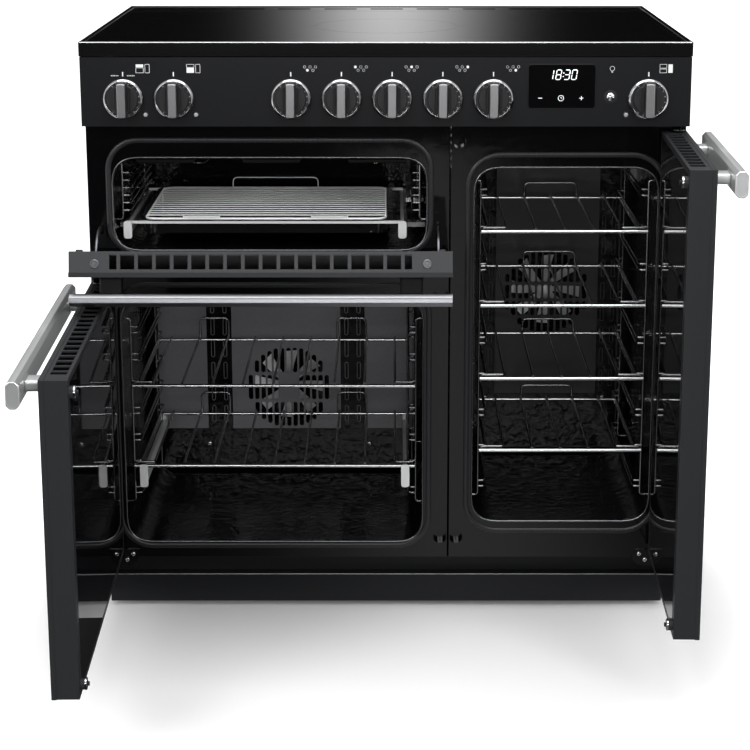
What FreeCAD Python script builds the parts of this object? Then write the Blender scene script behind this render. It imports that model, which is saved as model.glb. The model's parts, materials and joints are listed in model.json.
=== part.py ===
"""Range cooker, 900 mm wide, with two side-hung ovens and a drop-down grill.

Millimetres. X runs to the right, Y to the back and Z up from the floor. While it is drawn, y = 0 is
the face of the front frames and x = 0 the middle of the casing. At the end every piece is moved
along Y, so that the origin is the middle of the footprint with all doors open.
The doors are drawn shut and then swung open, which is how the cooker is stored.
"""
import FreeCAD, Part
import math
import os

V = FreeCAD.Vector
X_AXIS = V(1, 0, 0)
Y_AXIS = V(0, 1, 0)
Z_AXIS = V(0, 0, 1)

# ---- casing -----------------------------------------------------------------------------------
WIDTH = 900.0              # over both side panels
HOB_TOP = 908.0            # floor to the top edge of the hob trim
BODY_BACK = 563.0          # front frame face to the outside of the back panel
SHEET = 1.0                # side, back and deck sheet
FIT = 0.5                  # gap round a piece that seats in an opening
RUNNING = 0.05             # radial clearance of a pin or spindle in its bore
SKIRT_BOTTOM = 60.0        # floor to the lower edge of the side and back panels
BASE_T = 1.5               # base plate and its skirts
LOUVRE_XS = (-225.0, 225.0)
LOUVRES = 8
LOUVRE_L = 220.0
LOUVRE_H = 5.0
LOUVRE_PITCH = 14.0
LOUVRE_LOW = 620.0
BASE_SETBACK = 45.0        # front frame face to the front skirt of the base
PLINTH_BOTTOM = 9.0
PLINTH_TOP = 55.0
PLINTH_SETBACK = 25.0      # front frame face to the plinth's face
PLINTH_END_GAP = 10.0      # side panel to the end of the plinth

# ---- front frames -----------------------------------------------------------------------------
FRAME_T = 1.5              # enamelled front frame sheet
FRAME_BOTTOM = 94.0
FRAME_TUCK = 14.0          # how far the frames run up behind the fascia
FRAME_FLANGE = 18.0        # fold-back round the outside of each frame
LIP_DEPTH = 12.0           # fold-in round each cavity mouth
SEAM_X = 97.0              # joint between the left and right modules
FRAME_SEAM_GAP = 1.5       # front frame to that joint, on each side
LINER_T = 1.2
LINER_GAP = 0.3            # lip of the mouth to the liner that sleeves over it
LINER_FLANGE = 8.0
SEAL_W = 8.5
SEAL_PROUD = 2.6

# cavity mouths: margins to the casing and the module joint, and to the edges of their doors
GRILL_MOUTH_OUT = 36.5     # mouth to the inside of the casing
GRILL_MOUTH_IN = 34.5      # mouth to the module joint
GRILL_SILL_UP = 30.0       # lower edge of the door to the mouth
GRILL_HEAD_DOWN = 43.0     # upper edge of the door to the mouth
GRILL_DEPTH = 340.0
LEFT_MOUTH_OUT = 42.0
LEFT_MOUTH_IN = 40.0
LEFT_SILL_UP = 10.5
LEFT_HEAD_DOWN = 26.0
RIGHT_MOUTH_OUT = 37.5
RIGHT_MOUTH_IN = 36.5
RIGHT_SILL_UP = 44.5
RIGHT_HEAD_DOWN = 58.0
OVEN_DEPTH = 405.0
MOUTH_R = 40.0             # corner radius of every mouth
GRILL_SEAL_OUT = 1.5       # mouth edge to the inside of the seal
OVEN_SEAL_OUT = 4.8
GRILL_SEAL_HEAD = 22.0     # the same above the mouth
OVEN_SEAL_HEAD = 15.0
LEFT_SEAL_SILL = 2.0       # and below it
RIGHT_SEAL_SILL = 11.5

# ---- doors ------------------------------------------------------------------------------------
DOOR_FACE = 40.0           # outer face of a shut door, in front of the frame face
DOOR_CLEAR = 3.0           # inner face of a shut door, in front of the frame face
DOOR_SIDE_GAP = 2.0        # door edge to the side of the casing
DOOR_SEAM_GAP = 1.5        # door edge to the module joint
DOOR_BOTTOM = 108.5
DOOR_HEAD_GAP = 10.0       # top edge of the right and grill doors to the fascia
GRILL_DOOR_H = 216.0
DOORS_GAP = 17.0           # left door to the grill door above it
SKIN_T = 1.2
SKIN_WRAP = 7.0            # depth of the outer skin's edge
FRAME_INSET = 0.6          # inner door frame inside the skin's outline
DOOR_WALL = 2.0            # walls of the inner door frame
RIM = 8.0                  # rim of the inner frame round the glass
RIM_FREE = 20.0            # the same along the free edge, where the catches sit
GRILL_RIM_END = 30.0       # wider rim at both ends of the grill door
LEDGE = 6.0                # ledge behind the glass edge
GLASS_T = 4.0
SIDE_PIVOT_IN = 14.0       # side doors: pin to the hinge edge
SIDE_PIVOT_DEEP = 14.0     # side doors: pin to the outer face
GRILL_PIVOT_UP = 16.0      # grill door: pin to the lower edge
GRILL_PIVOT_DEEP = 22.0    # grill door: pin to the outer face
SWING_CLEAR = 1.2          # corner of a swinging door to the frame face
SEAL_CLEAR = 0.5           # the same to the face of a seal
SIDE_OPEN = 88.5           # stored opening of the side doors, degrees
GRILL_OPEN = 77.5          # stored opening of the grill door, degrees
VENT_L = 20.0              # vent slots in the door tops
VENT_D = 21.0
VENT_PITCH = 25.1
VENT_END = 30.0            # plain end cap beside the vent slots
GRILL_VENT_END = 58.0
VENT_LEAST = 6.0           # narrowest slot that an end cap leaves
CATCH_R = 8.0
CATCH_PROUD = 9.0
CATCH_IN = 11.0            # catch to the free edge
CATCH_UP = 18.5            # catch to the top or bottom edge
CATCH_PIN_R = 3.0
CATCH_PIN_PROUD = 3.0
CATCH_HOLE_CLEAR = 2.5
BUFFER_R = 5.0
BUFFER_PROUD = 2.5

# ---- handles ----------------------------------------------------------------------------------
BAR_H = 36.0
BAR_D = 18.0
BAR_CHAMFER = 5.0
BAR_STANDOFF = 41.5        # door face to the outer face of the bar
BAR_DOWN = 20.0            # middle of the bar below the door's top edge
POST_W = 35.0
POST_H = 18.0
POST_IN = 58.5             # middle of a post to the end of the bar

# ---- hinges -----------------------------------------------------------------------------------
PIN_R = 4.0
PIN_BITE = 12.0            # length of a side-door pin inside the door
BOSS_R = 7.0
BRACKET_T = 2.5
BRACKET_GAP = 1.5          # bracket arm to the door's edge
BRACKET_PLATE_T = 2.0
BRACKET_PLATE_H = 8.0
BRACKET_REACH = 46.0       # pin to the inner end of the bracket's plate
ARM_HALF = 9.0             # half width of a bracket arm round its pin
EAR_IN = 4.5               # grill hinge: door end to the ear
EAR_T = 4.0
EAR_R = 8.0
EAR_CLEAR = 3.0            # ear to the door's edge round it
EAR_SIDE_CLEAR = 1.0
RIB_IN = 12.5              # door end to the stay's rib
RIB_T = 3.0
RIB_UP = 62.0
STAY_R = 50.0              # quadrant stay: middle radius about the hinge pin
STAY_W = 8.0
STAY_T = 3.0
STAY_START = -12.0         # degrees from the door plane, inside the door
STAY_END = 106.0
SLOT_CLEAR = 1.5
GUIDE_T = 1.2
GUIDE_H = 54.0
GUIDE_W = 10.0

# ---- fascia and controls ----------------------------------------------------------------------
FASCIA_FACE = 41.0         # in front of the frame face
FASCIA_H = 102.0
FASCIA_GAP = 1.0           # fascia to the hob trim above it
FASCIA_T = 1.2
FASCIA_TOP_FOLD = 20.0
CONTROL_UP = 41.0          # fascia's lower edge to the middle of the knobs
KNOB_PITCH = 74.4
OUTER_KNOB_IN = 64.0       # side of the casing to an outer knob
KNOB_ROW_GAP = 51.5        # last knob of the row of five to the display
KNOB_R = 30.0
KNOB_BEVEL = 3.0
SKIRT_H = 8.0
KNOB_SIDES = 24
DIAL_R = 24.0
DIAL_H = 3.0
GRIP_W = 14.5
GRIP_H = 17.0
GRIP_CROWN_R = 26.0
KNOB_GAP = 0.8             # knob to fascia
SPINDLE_FLATS = 6.0
SPINDLE_BITE = 6.0         # spindle inside the knob
SPINDLE_TAIL = 20.0        # spindle inside the switch
SPINDLE_HOLE_R = 5.0
SWITCH_BUSH_R = 8.0
SWITCH_BUSH_L = 5.0
SWITCH_SIZE = 40.0
SWITCH_D = 24.0
DISPLAY_IN = 127.3         # right-hand knob to the middle of the display
DISPLAY_UP = 59.0          # and of the display, above the fascia's lower edge
DISPLAY_W = 98.0
DISPLAY_H = 64.0
DISPLAY_T = 3.0
DISPLAY_BEZEL = 4.0        # flange of the window behind the fascia
NEON_R = 4.0
NEON_X = 32.0              # knob to the neon beside it
NEON_UP = 17.5
BUTTON_IN = 55.3           # right-hand knob to the push button
BUTTON_UP = 44.0
BUTTON_R = 6.5
BUTTON_PROUD = 5.0
BUTTON_TRAVEL = 2.5
BUTTON_FIT = 0.3           # button in its hole, and behind the fascia
BUTTON_FLANGE = 2.0
BUTTON_FLANGE_T = 2.0
NEON_PROUD = 1.5
NEON_BODY_L = 12.0

# ---- hob --------------------------------------------------------------------------------------
TRIM_H = 21.0
TRIM_T = 1.5
TRIM_LIP = 8.0
TRIM_LEDGE = 18.0
GLASS_DROP = 1.0           # glass below the top of the trim
HOB_GLASS_T = 4.0
VENT_STRIP_D = 100.0       # rear vent strip, front to back
STRIP_SLOT_L = 56.0
STRIP_SLOT_W = 8.0
STRIP_SLOTS = 11
COIL_T = 9.0
COIL_TRAY_DROP = 32.0      # hob top to the coil tray
MODULE_H = 34.0            # power modules under the tray
MODULE_X = 210.0
MODULE_W = 260.0
MODULE_Y = 60.0
MODULE_D = 300.0
ZONES = ((-300.0, 105.0, 90.0), (-300.0, 335.0, 75.0), (0.0, 215.0, 115.0),
         (300.0, 105.0, 75.0), (300.0, 335.0, 90.0))   # x, y, radius of each coil

# ---- oven fittings ----------------------------------------------------------------------------
COVER_STAND = 43.0         # front of the back covers to the ovens' back wall
COVER_T = 1.2
COVER_SIDE = 14.0          # cover edge to the liner wall
COVER_TOP = 26.0
COVER_FLOOR = 8.0
FIELD_R = 73.0             # slotted field in front of each fan
FAN_SLOT_W = 7.5
FAN_SLOT_PITCH = 11.0
FAN_SLOT_GAP = 5.0         # metal left between two slots in a column
HUB_BLANK = 17.0           # half width of the plain square before the left hub
STANDOFF_FLATS = 10.0
STANDOFF_IN = 22.0
LEFT_BANDS = 3             # bands of slots across the left and the right field
RIGHT_BANDS = 5
LEFT_FAN_ASIDE = 5.0       # middle of the mouth to the fan axis
LEFT_FAN_UP = 148.5        # sill to the fan axis
RIGHT_FAN_ASIDE = 0.5
RIGHT_FAN_UP = 285.0
LEFT_DUCT_W = 30.0         # tall air outlets beside the fan
LEFT_DUCT_X = 113.0        # fan axis to the middle of an outlet
LEFT_DUCT_H = 250.0
RIGHT_DUCT_W = 12.0
RIGHT_DUCT_X = 104.0
RIGHT_DUCT_H = 420.0
FAN_R = 61.0
FAN_BLADES = 18
BLADE_W = 18.0
BLADE_T = 1.5
BLADE_ROOT_R = 40.0
BLADE_SWEEP = -28.0
SHAFT_BITE = 16.0
HUB_R = 11.0
SHAFT_R = 4.0
SHAFT_HOLE_R = 6.0
FAN_GAP = 10.0             # cover to the blades
MOTOR_R = 32.0
MOTOR_L = 52.0
MOTOR_FLANGE_R = 42.0
ELEMENT_D = 6.5
RING_R = 80.0
RING_SIDES = 12
ELEMENT_HOLE_CLEAR = 1.0
ROOF_DROP = 14.0           # roof element below the liner's roof
ELEMENT_PLATE = 2.0
ELEMENT_TAIL = 12.0        # element ends behind the liner
GRILL_RUNS = 6             # runs of the grill element, front to back
LEFT_RUNS = 2
ROOF_INSET = 36.0          # mouth edge to the outer run
ROOF_FRONT = 45.0
ROOF_BACK_GAP = 30.0
LAMP_R = 18.0
LAMP_PROUD = 9.0
LAMP_Y = 300.0
LAMP_DOWN = 60.0           # lamp below the roof

# ---- side ladders -----------------------------------------------------------------------------
UPRIGHT_D = 5.0
RUNG_D = 4.0
LADDER_FRONT = 28.0
LADDER_BACK_GAP = 69.0     # rear uprights to the ovens' back wall
GRILL_LADDER_BACK = 300.0
UPRIGHT_IN = 12.5          # liner wall to the middle of the outer upright
RUNG_IN = 24.0             # liner wall to the middle of the rungs
PAIR_GAP = 9.4             # between the two rungs of a pair
LEFT_PITCH = 43.5
LEFT_LOWEST_UP = 76.5      # sill to the lowest pair of rungs
LEFT_HEAD_ROOM = 55.0      # least room from the highest pair to the mouth's head
RIGHT_LEVELS = 9
RIGHT_LOWEST_UP = 53.3
RIGHT_HIGHEST_DOWN = 43.3  # highest pair of rungs to the mouth's head
GRILL_PITCH = 11.6
GRILL_LEVELS = 6
GRILL_LOWEST_UP = 57.0
LADDER_PAST = 14.0         # uprights past the end rungs
WIRE_SIDES = 4             # thin wires are drawn square

# ---- wire shelves -----------------------------------------------------------------------------
SHELF_FRONT = 17.0         # frame face to the front rail
SHELF_BACK_GAP = 39.0      # rear rail of a shelf to the rear uprights
FRONT_RAIL_D = 6.0
SIDE_RAIL_D = 4.8
REAR_RAIL_D = 5.0
SHELF_WIRE_D = 4.0
FRONT_RAIL_END = 14.0      # liner wall to the end of the front rail
WELD = 0.5                 # how far crossing wires bite into each other
RIGHT_WIRE_COUNT = 3       # straight wires between the bent ones
LEFT_WIRE_COUNT = 7
RIGHT_HOOK_GAP = 28.8      # side rail to the bent wire beside it
LEFT_HOOK_GAP = 21.0
HOOK_BACK = 6.5            # bent outer wire behind the front rail
HOOK_IN = 17.0             # liner wall to the turned-down end of that wire
RIGHT_LOOP_W = 86.0
RIGHT_LOOP_H = 25.0
LEFT_LOOP_W = 48.0
LEFT_LOOP_H = 38.0
LEFT_LOOP_IN = 93.8        # side rail to the middle of a loop
LEFT_LOWER_LEVEL = 1       # ladder pair level with the gliding left shelf
RIGHT_LEVEL_USED = (1, 3, 5, 7)

# ---- telescopic rails -------------------------------------------------------------------------
FIXED_RAIL_W = 4.0
MOVING_RAIL_W = 5.0
RAIL_H = 24.0
RAIL_GAP = 0.4
RAIL_BACK_GAP = 16.0       # drawer rails end before the rear uprights
CLIP_H = 3.8               # left rail above the pair of rungs below it
CLIP_L = 8.0               # clips that hold a rail between two pairs of rungs
GLIDE_PLATE_W = 12.5
GLIDE_PLATE_R = 4.0
GLIDE_PLATE_H = 37.0
GLIDE_PLATE_T = 2.0
GRILL_RAIL_OUT = 21.3      # liner's outer wall to the middle of a moving rail
GRILL_RAIL_IN = 39.3       # liner's inner wall to the middle of the other
GRILL_RAIL_UP = 38.0       # sill to the top of the rails
GRILL_RAIL_H = 18.0
GRILL_PLATE_H = 27.0
GRILL_PLATE_UP = 5.0       # plate above the rail
RAIL_STRUT = 20.0          # length of each strut from a grill rail to the liner

# ---- grill pan and trivet ---------------------------------------------------------------------
PAN_FRONT = 24.0           # frame face to the pan's front wall
PAN_DEPTH = 288.0
PAN_SIDE_GAP = 15.0        # middle of a moving rail to the pan's rim
PAN_H = 21.0
PAN_T = 1.5
PAN_R = 22.0
PAN_RIM_W = 6.0
CROSS_RAIL_D = 5.0         # carriage rails under the pan's rim, front and back
CROSS_RAIL_H = 4.0
TRIVET_UP = 8.0            # top of the rails to the middle of the trivet's wires
TRIVET_SIDE_GAP = 0.5      # trivet's frame to the inside of the pan
TRIVET_BACK_GAP = 6.0      # pan's back to the trivet's last wire
TRIVET_SETBACK = 4.0       # pan front to the trivet's first wire
TRIVET_CORNER = 19.0
TRIVET_WIRES = 14          # cross wires between the front and back of its frame
TRIVET_LEG_IN = 34.0       # frame's front or back to its legs
TRIVET_WIRE_D = 3.2
TRIVET_FRAME_D = 4.0
TRIVET_LOOP_OUT = 7.0
TRIVET_LOOP_UP = 2.0
TRIVET_LOOP_W = 55.0
TRIVET_LOOP_X = 98.0
TRIVET_BACK_LOOP_W = 141.0
TRIVET_BACK_LOOP_H = 15.0

# ---- feet, rollers, terminal box --------------------------------------------------------------
FOOT_IN = 49.0             # inside of the casing to the middle of a foot or roller
FOOT_Y = 75.0
FOOT_PAD_R = 20.0
FOOT_PAD_H = 8.0
FOOT_STEM_R = 6.0
ROLLER_Y = 500.0
ROLLER_R = 22.0
ROLLER_W = 24.0
ROLLER_AXLE_R = 4.0
CHEEK_T = 2.0
CHEEK_GAP = 1.0
CHEEK_LOW = 12.0           # floor to the lower edge of the cheeks
TERMINAL_IN = 159.0        # inside of the casing to the middle of the box
TERMINAL_Z = 160.0
TERMINAL_W = 80.0
TERMINAL_H = 60.0
TERMINAL_D = 42.0
GLAND_R = 14.0
GLAND_BORE_R = 8.0
GLAND_PROUD = 14.0
GLAND_BORE_L = 22.0


# ---- drawing helpers --------------------------------------------------------------------------
def box(x0, x1, y0, y1, z0, z1):
    """Block between two corners."""
    return Part.makeBox(x1 - x0, y1 - y0, z1 - z0, V(x0, y0, z0))


def rod(radius, start, along):
    """Round bar from a start point along a vector."""
    return Part.makeCylinder(radius, along.Length, start, along)


def weld(*shapes):
    """Join shapes that touch or overlap into one solid."""
    return shapes[0].multiFuse(list(shapes[1:])).removeSplitter()


def ring(x0, x1, z0, z1, wall, y0, y1):
    """Square-cornered picture frame, facing along Y."""
    return box(x0, x1, y0, y1, z0, z1).cut(
        box(x0 + wall, x1 - wall, y0 - 1, y1 + 1, z0 + wall, z1 - wall))


def flat_ring(x0, x1, y0, y1, wall, z0, z1):
    """Square-cornered picture frame, lying flat."""
    return box(x0, x1, y0, y1, z0, z1).cut(
        box(x0 + wall, x1 - wall, y0 + wall, y1 - wall, z0 - 1, z1 + 1))


def rounded_outline(a0, a1, b0, b1, radius, place):
    """Closed wire of a rectangle with round corners; place turns (a, b) into a point."""
    middles = ((a1 - radius, b1 - radius), (a0 + radius, b1 - radius),
               (a0 + radius, b0 + radius), (a1 - radius, b0 + radius))
    edges = []
    ends = []
    for corner, (a, b) in enumerate(middles):
        arc = []
        for step in range(3):
            turn = math.radians(90 * corner + 45 * step)
            arc.append(place(a + radius * math.cos(turn), b + radius * math.sin(turn)))
        edges.append(Part.Arc(*arc).toShape())
        ends.append((arc[0], arc[2]))
    for corner in range(4):
        edges.append(Part.makeLine(ends[corner][1], ends[(corner + 1) % 4][0]))
    return Part.Wire(Part.__sortEdges__(edges))


def rounded(x0, x1, z0, z1, radius, y0, y1):
    """Upright slab from y0 to y1 with round corners."""
    outline = rounded_outline(x0, x1, z0, z1, radius, lambda x, z: V(x, y0, z))
    return Part.Face(outline).extrude(V(0, y1 - y0, 0))


def rounded_flat(x0, x1, y0, y1, radius, z0, z1):
    """Slab lying flat from z0 to z1 with round corners."""
    outline = rounded_outline(x0, x1, y0, y1, radius, lambda x, y: V(x, y, z0))
    return Part.Face(outline).extrude(V(0, 0, z1 - z0))


def prism(points, along):
    """Solid from a closed outline and the vector it is drawn out by."""
    return Part.Face(Part.makePolygon(points + points[:1])).extrude(along)


def bar(points, flats, sides=8, closed=False):
    """Many-sided wire along straight runs, mitred where they turn."""
    runs = [points[i + 1] - points[i] for i in range(len(points) - 1)]
    if closed:
        runs.append(points[0] - points[-1])
    runs = [V(run).normalize() for run in runs]
    side_way = V(0, 0, 1) if abs(runs[0].z) < 0.9 else V(0, 1, 0)
    u = runs[0].cross(side_way).normalize()
    w = runs[0].cross(u)
    reach = flats / 2 / math.cos(math.pi / sides)
    middle = (points[0] + points[1]) * 0.5
    section = []
    for i in range(sides):
        turn = math.pi * (2 * i + 1) / sides
        section.append(middle + u * (reach * math.cos(turn)) + w * (reach * math.sin(turn)))
    sections = []
    for i, point in enumerate(points):
        before = runs[i - 1] if (i or closed) else runs[0]
        after = runs[i] if i < len(runs) else runs[-1]
        plane = before + after
        run = runs[0] if i == 0 else before
        section = [q + run * ((point - q).dot(plane) / run.dot(plane)) for q in section]
        sections.append(section)
    if closed:
        sections.append(sections[0])
    faces = []
    for first, second in zip(sections, sections[1:]):
        for i in range(sides):
            j = (i + 1) % sides
            corners = [first[i], first[j], second[j], second[i], first[i]]
            faces.append(Part.Face(Part.makePolygon(corners)))
    if not closed:
        faces += [Part.Face(Part.makePolygon(end + end[:1])) for end in (sections[0], sections[-1])]
    solid = Part.Solid(Part.Shell(faces))
    if solid.Volume < 0:
        solid.reverse()
    return solid


def drum(base, axis, sections, sides):
    """Many-sided turned solid: each section is a distance along the axis and a radius."""
    side_way = Z_AXIS if abs(axis.z) < 0.9 else Y_AXIS
    u = axis.cross(side_way).normalize()
    w = axis.cross(u)
    rings = []
    for distance, radius in sections:
        turns = [2 * math.pi * (i + 0.5) / sides for i in range(sides)]
        rings.append([base + axis * distance + u * (radius * math.cos(turn))
                      + w * (radius * math.sin(turn)) for turn in turns])
    faces = [Part.Face(Part.makePolygon(end + end[:1])) for end in (rings[0], rings[-1])]
    for first, second in zip(rings, rings[1:]):
        for i in range(sides):
            j = (i + 1) % sides
            corners = [first[i], first[j], second[j], second[i], first[i]]
            faces.append(Part.Face(Part.makePolygon(corners)))
    solid = Part.Solid(Part.Shell(faces))
    if solid.Volume < 0:
        solid.reverse()
    return solid


def group(*shapes):
    """Separate solids kept side by side in one node."""
    solids = []
    for shape in shapes:
        solids += shape.Solids
    return Part.makeCompound(solids)


# ---- places worked out from the sizes ---------------------------------------------------------
HALF = WIDTH / 2
INNER_HALF = HALF - SHEET
TRIM_BOTTOM = HOB_TOP - TRIM_H
FASCIA_TOP = TRIM_BOTTOM - FASCIA_GAP
FASCIA_BOTTOM = FASCIA_TOP - FASCIA_H
FRAME_TOP = FASCIA_BOTTOM + FRAME_TUCK
DOOR_TOP = FASCIA_BOTTOM - DOOR_HEAD_GAP
GRILL_DOOR_BOTTOM = DOOR_TOP - GRILL_DOOR_H
LEFT_DOOR_TOP = GRILL_DOOR_BOTTOM - DOORS_GAP
FOOT_X = INNER_HALF - FOOT_IN
TERMINAL_X = INNER_HALF - TERMINAL_IN
HINGE_EDGE = HALF - DOOR_SIDE_GAP
LEFT_DOOR_W = HINGE_EDGE + SEAM_X - DOOR_SEAM_GAP
RIGHT_DOOR_W = HINGE_EDGE - SEAM_X - DOOR_SEAM_GAP
SIDE_PIVOT_X = HINGE_EDGE - SIDE_PIVOT_IN
SIDE_PIVOT_Y = SIDE_PIVOT_DEEP - DOOR_FACE
GRILL_PIVOT_Y = GRILL_PIVOT_DEEP - DOOR_FACE
GRILL_PIVOT_Z = GRILL_DOOR_BOTTOM + GRILL_PIVOT_UP
GRILL_DOOR_MIDDLE = (SEAM_X - DOOR_SEAM_GAP - HINGE_EDGE) / 2
COVER_Y = OVEN_DEPTH - COVER_STAND
FAN_BACK = COVER_Y + COVER_T + FAN_GAP + BLADE_W
LADDER_BACK = OVEN_DEPTH - LADDER_BACK_GAP
RAIL_BACK = LADDER_BACK - RAIL_BACK_GAP
SHELF_DEPTH = LADDER_BACK - SHELF_BACK_GAP - SHELF_FRONT
SPINDLE_BORE_R = SPINDLE_FLATS / math.sqrt(3) + RUNNING
OUTER_KNOB_X = HALF - OUTER_KNOB_IN
DISPLAY_X = OUTER_KNOB_X - DISPLAY_IN
BUTTON_X = OUTER_KNOB_X - BUTTON_IN
CONTROL_Z = FASCIA_BOTTOM + CONTROL_UP
DISPLAY_Z = FASCIA_BOTTOM + DISPLAY_UP
NEON_Z = FASCIA_BOTTOM + NEON_UP
BUTTON_Z = FASCIA_BOTTOM + BUTTON_UP
ROW_END = DISPLAY_X - DISPLAY_W / 2 - KNOB_ROW_GAP
KNOB_XS = ([-OUTER_KNOB_X, -OUTER_KNOB_X + KNOB_PITCH]
           + [ROW_END - i * KNOB_PITCH for i in (4, 3, 2, 1, 0)] + [OUTER_KNOB_X])
NEON_XS = (KNOB_XS[0] + NEON_X, KNOB_XS[1] + NEON_X, KNOB_XS[7] - NEON_X)
HOB_FRONT = -FASCIA_FACE
GLASS_BACK = BODY_BACK - VENT_STRIP_D


def relief(pivot_y, pivot_in, inner_deep, clear):
    """How far the inner frame stops short of the hinge edge, so that its corner swings clear."""
    reach = abs(pivot_y) - clear
    return pivot_in - math.sqrt(max(reach ** 2 - inner_deep ** 2, 0.0))


class Cavity:
    """One cavity: its mouth in the front frame and the depth of its liner."""

    def __init__(self, x0, x1, sill, head, depth, seal_out, seal_head, seal_sill):
        self.middle = (x0 + x1) / 2
        self.x0 = x0
        self.x1 = x1
        self.z0 = sill
        self.z1 = head
        self.depth = depth
        self.seal_out = seal_out
        self.seal_head = seal_head
        self.seal_sill = seal_sill
        self.wall_x0 = self.x0 - FRAME_T - LINER_GAP
        self.wall_x1 = self.x1 + FRAME_T + LINER_GAP
        self.roof = self.z1 + FRAME_T + LINER_GAP
        self.floor = self.z0 - FRAME_T - LINER_GAP

    def curve_in(self, low, high):
        """How far the rounded corners of the liner come in from its walls between two heights."""
        radius = MOUTH_R + FRAME_T + LINER_GAP
        past = max(high - (self.roof - radius), self.floor + radius - low, 0.0)
        return radius - math.sqrt(radius ** 2 - past ** 2)

    def slab(self, grow, y0, y1):
        """The mouth's outline, grown all round, as a slab."""
        return rounded(self.x0 - grow, self.x1 + grow, self.z0 - grow, self.z1 + grow,
                       MOUTH_R + grow, y0, y1)

    def seal_slab(self, grow, y0, y1):
        """The seal's inner outline, grown all round."""
        out = self.seal_out + grow
        return rounded(self.x0 - out, self.x1 + out, self.z0 - self.seal_sill - grow,
                       self.z1 + self.seal_head + grow, MOUTH_R + out, y0, y1)


GRILL = Cavity(GRILL_MOUTH_OUT - INNER_HALF, SEAM_X - GRILL_MOUTH_IN,
               GRILL_DOOR_BOTTOM + GRILL_SILL_UP, DOOR_TOP - GRILL_HEAD_DOWN, GRILL_DEPTH,
               GRILL_SEAL_OUT, GRILL_SEAL_HEAD, GRILL_SEAL_OUT)
LEFT = Cavity(LEFT_MOUTH_OUT - INNER_HALF, SEAM_X - LEFT_MOUTH_IN, DOOR_BOTTOM + LEFT_SILL_UP,
              LEFT_DOOR_TOP - LEFT_HEAD_DOWN, OVEN_DEPTH, OVEN_SEAL_OUT, OVEN_SEAL_HEAD,
              LEFT_SEAL_SILL)
RIGHT = Cavity(SEAM_X + RIGHT_MOUTH_IN, INNER_HALF - RIGHT_MOUTH_OUT,
               DOOR_BOTTOM + RIGHT_SILL_UP, DOOR_TOP - RIGHT_HEAD_DOWN, OVEN_DEPTH,
               OVEN_SEAL_OUT, OVEN_SEAL_HEAD, RIGHT_SEAL_SILL)
CAVITIES = (GRILL, LEFT, RIGHT)

LEFT_FAN_X = LEFT.middle + LEFT_FAN_ASIDE
LEFT_FAN_Z = LEFT.z0 + LEFT_FAN_UP
RIGHT_FAN_X = RIGHT.middle + RIGHT_FAN_ASIDE
RIGHT_FAN_Z = RIGHT.z0 + RIGHT_FAN_UP
GRILL_LOWEST = GRILL.z0 + GRILL_LOWEST_UP
LEFT_LOWEST = LEFT.z0 + LEFT_LOWEST_UP
LEFT_LEVELS = int((LEFT.z1 - LEFT_HEAD_ROOM - LEFT_LOWEST) / LEFT_PITCH) + 1
LEFT_UPPER_LEVEL = LEFT_LEVELS // 2 + 1     # ladder pair that carries the plain left shelf
RIGHT_LOWEST = RIGHT.z0 + RIGHT_LOWEST_UP
RIGHT_PITCH = (RIGHT.z1 - RIGHT_HIGHEST_DOWN - RIGHT_LOWEST) / (RIGHT_LEVELS - 1)
RAIL_UP = LEFT_LOWEST + PAIR_GAP / 2 + RUNG_D / 2 + CLIP_H
GRILL_RAIL_XS = (GRILL.wall_x0 + GRILL_RAIL_OUT, GRILL.wall_x1 - GRILL_RAIL_IN)
GRILL_RAIL_MIDDLE = (GRILL_RAIL_XS[0] + GRILL_RAIL_XS[1]) / 2
GRILL_RAIL_HALF = (GRILL_RAIL_XS[1] - GRILL_RAIL_XS[0]) / 2
GRILL_RAIL_TOP = GRILL.z0 + GRILL_RAIL_UP
PAN_W = 2 * (GRILL_RAIL_HALF - PAN_SIDE_GAP)
TRIVET_Z = GRILL_RAIL_TOP + TRIVET_UP
TRIVET_W = PAN_W - 2 * (PAN_RIM_W + PAN_T + TRIVET_SIDE_GAP) - TRIVET_FRAME_D
TRIVET_D = PAN_DEPTH - 2 * PAN_RIM_W - TRIVET_SETBACK - TRIVET_BACK_GAP


# ---- casing -----------------------------------------------------------------------------------
def base_plate():
    """Base plate with skirts, and the cheeks and axles that carry the rear rollers."""
    under = FRAME_BOTTOM - BASE_T
    back = BODY_BACK - SHEET
    pieces = [box(-INNER_HALF, INNER_HALF, FRAME_T, back, under, FRAME_BOTTOM),
              box(-INNER_HALF, INNER_HALF, BASE_SETBACK, BASE_SETBACK + BASE_T, PLINTH_TOP, under),
              box(-INNER_HALF, INNER_HALF, back - BASE_T, back, SKIRT_BOTTOM, under)]
    for side in (-1, 1):
        wall = sorted((side * INNER_HALF, side * (INNER_HALF - BASE_T)))
        pieces.append(box(wall[0], wall[1], BASE_SETBACK, back, SKIRT_BOTTOM, under))
        reach = ROLLER_W / 2 + CHEEK_GAP
        for x in (side * FOOT_X - reach - CHEEK_T, side * FOOT_X + reach):
            pieces.append(box(x, x + CHEEK_T, ROLLER_Y - ROLLER_R / 2, ROLLER_Y + ROLLER_R / 2,
                              CHEEK_LOW, under))
        start = V(side * FOOT_X - reach - CHEEK_T, ROLLER_Y, ROLLER_R)
        pieces.append(rod(ROLLER_AXLE_R, start, X_AXIS * (2 * (reach + CHEEK_T))))
    return weld(*pieces)


def levelling_feet():
    """Two screw feet under the front of the base plate."""
    feet = []
    for x in (-FOOT_X, FOOT_X):
        pad = rod(FOOT_PAD_R, V(x, FOOT_Y, 0), Z_AXIS * FOOT_PAD_H)
        stem = rod(FOOT_STEM_R, V(x, FOOT_Y, 0), Z_AXIS * (FRAME_BOTTOM - BASE_T))
        feet.append(weld(pad, stem))
    return group(*feet)


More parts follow.
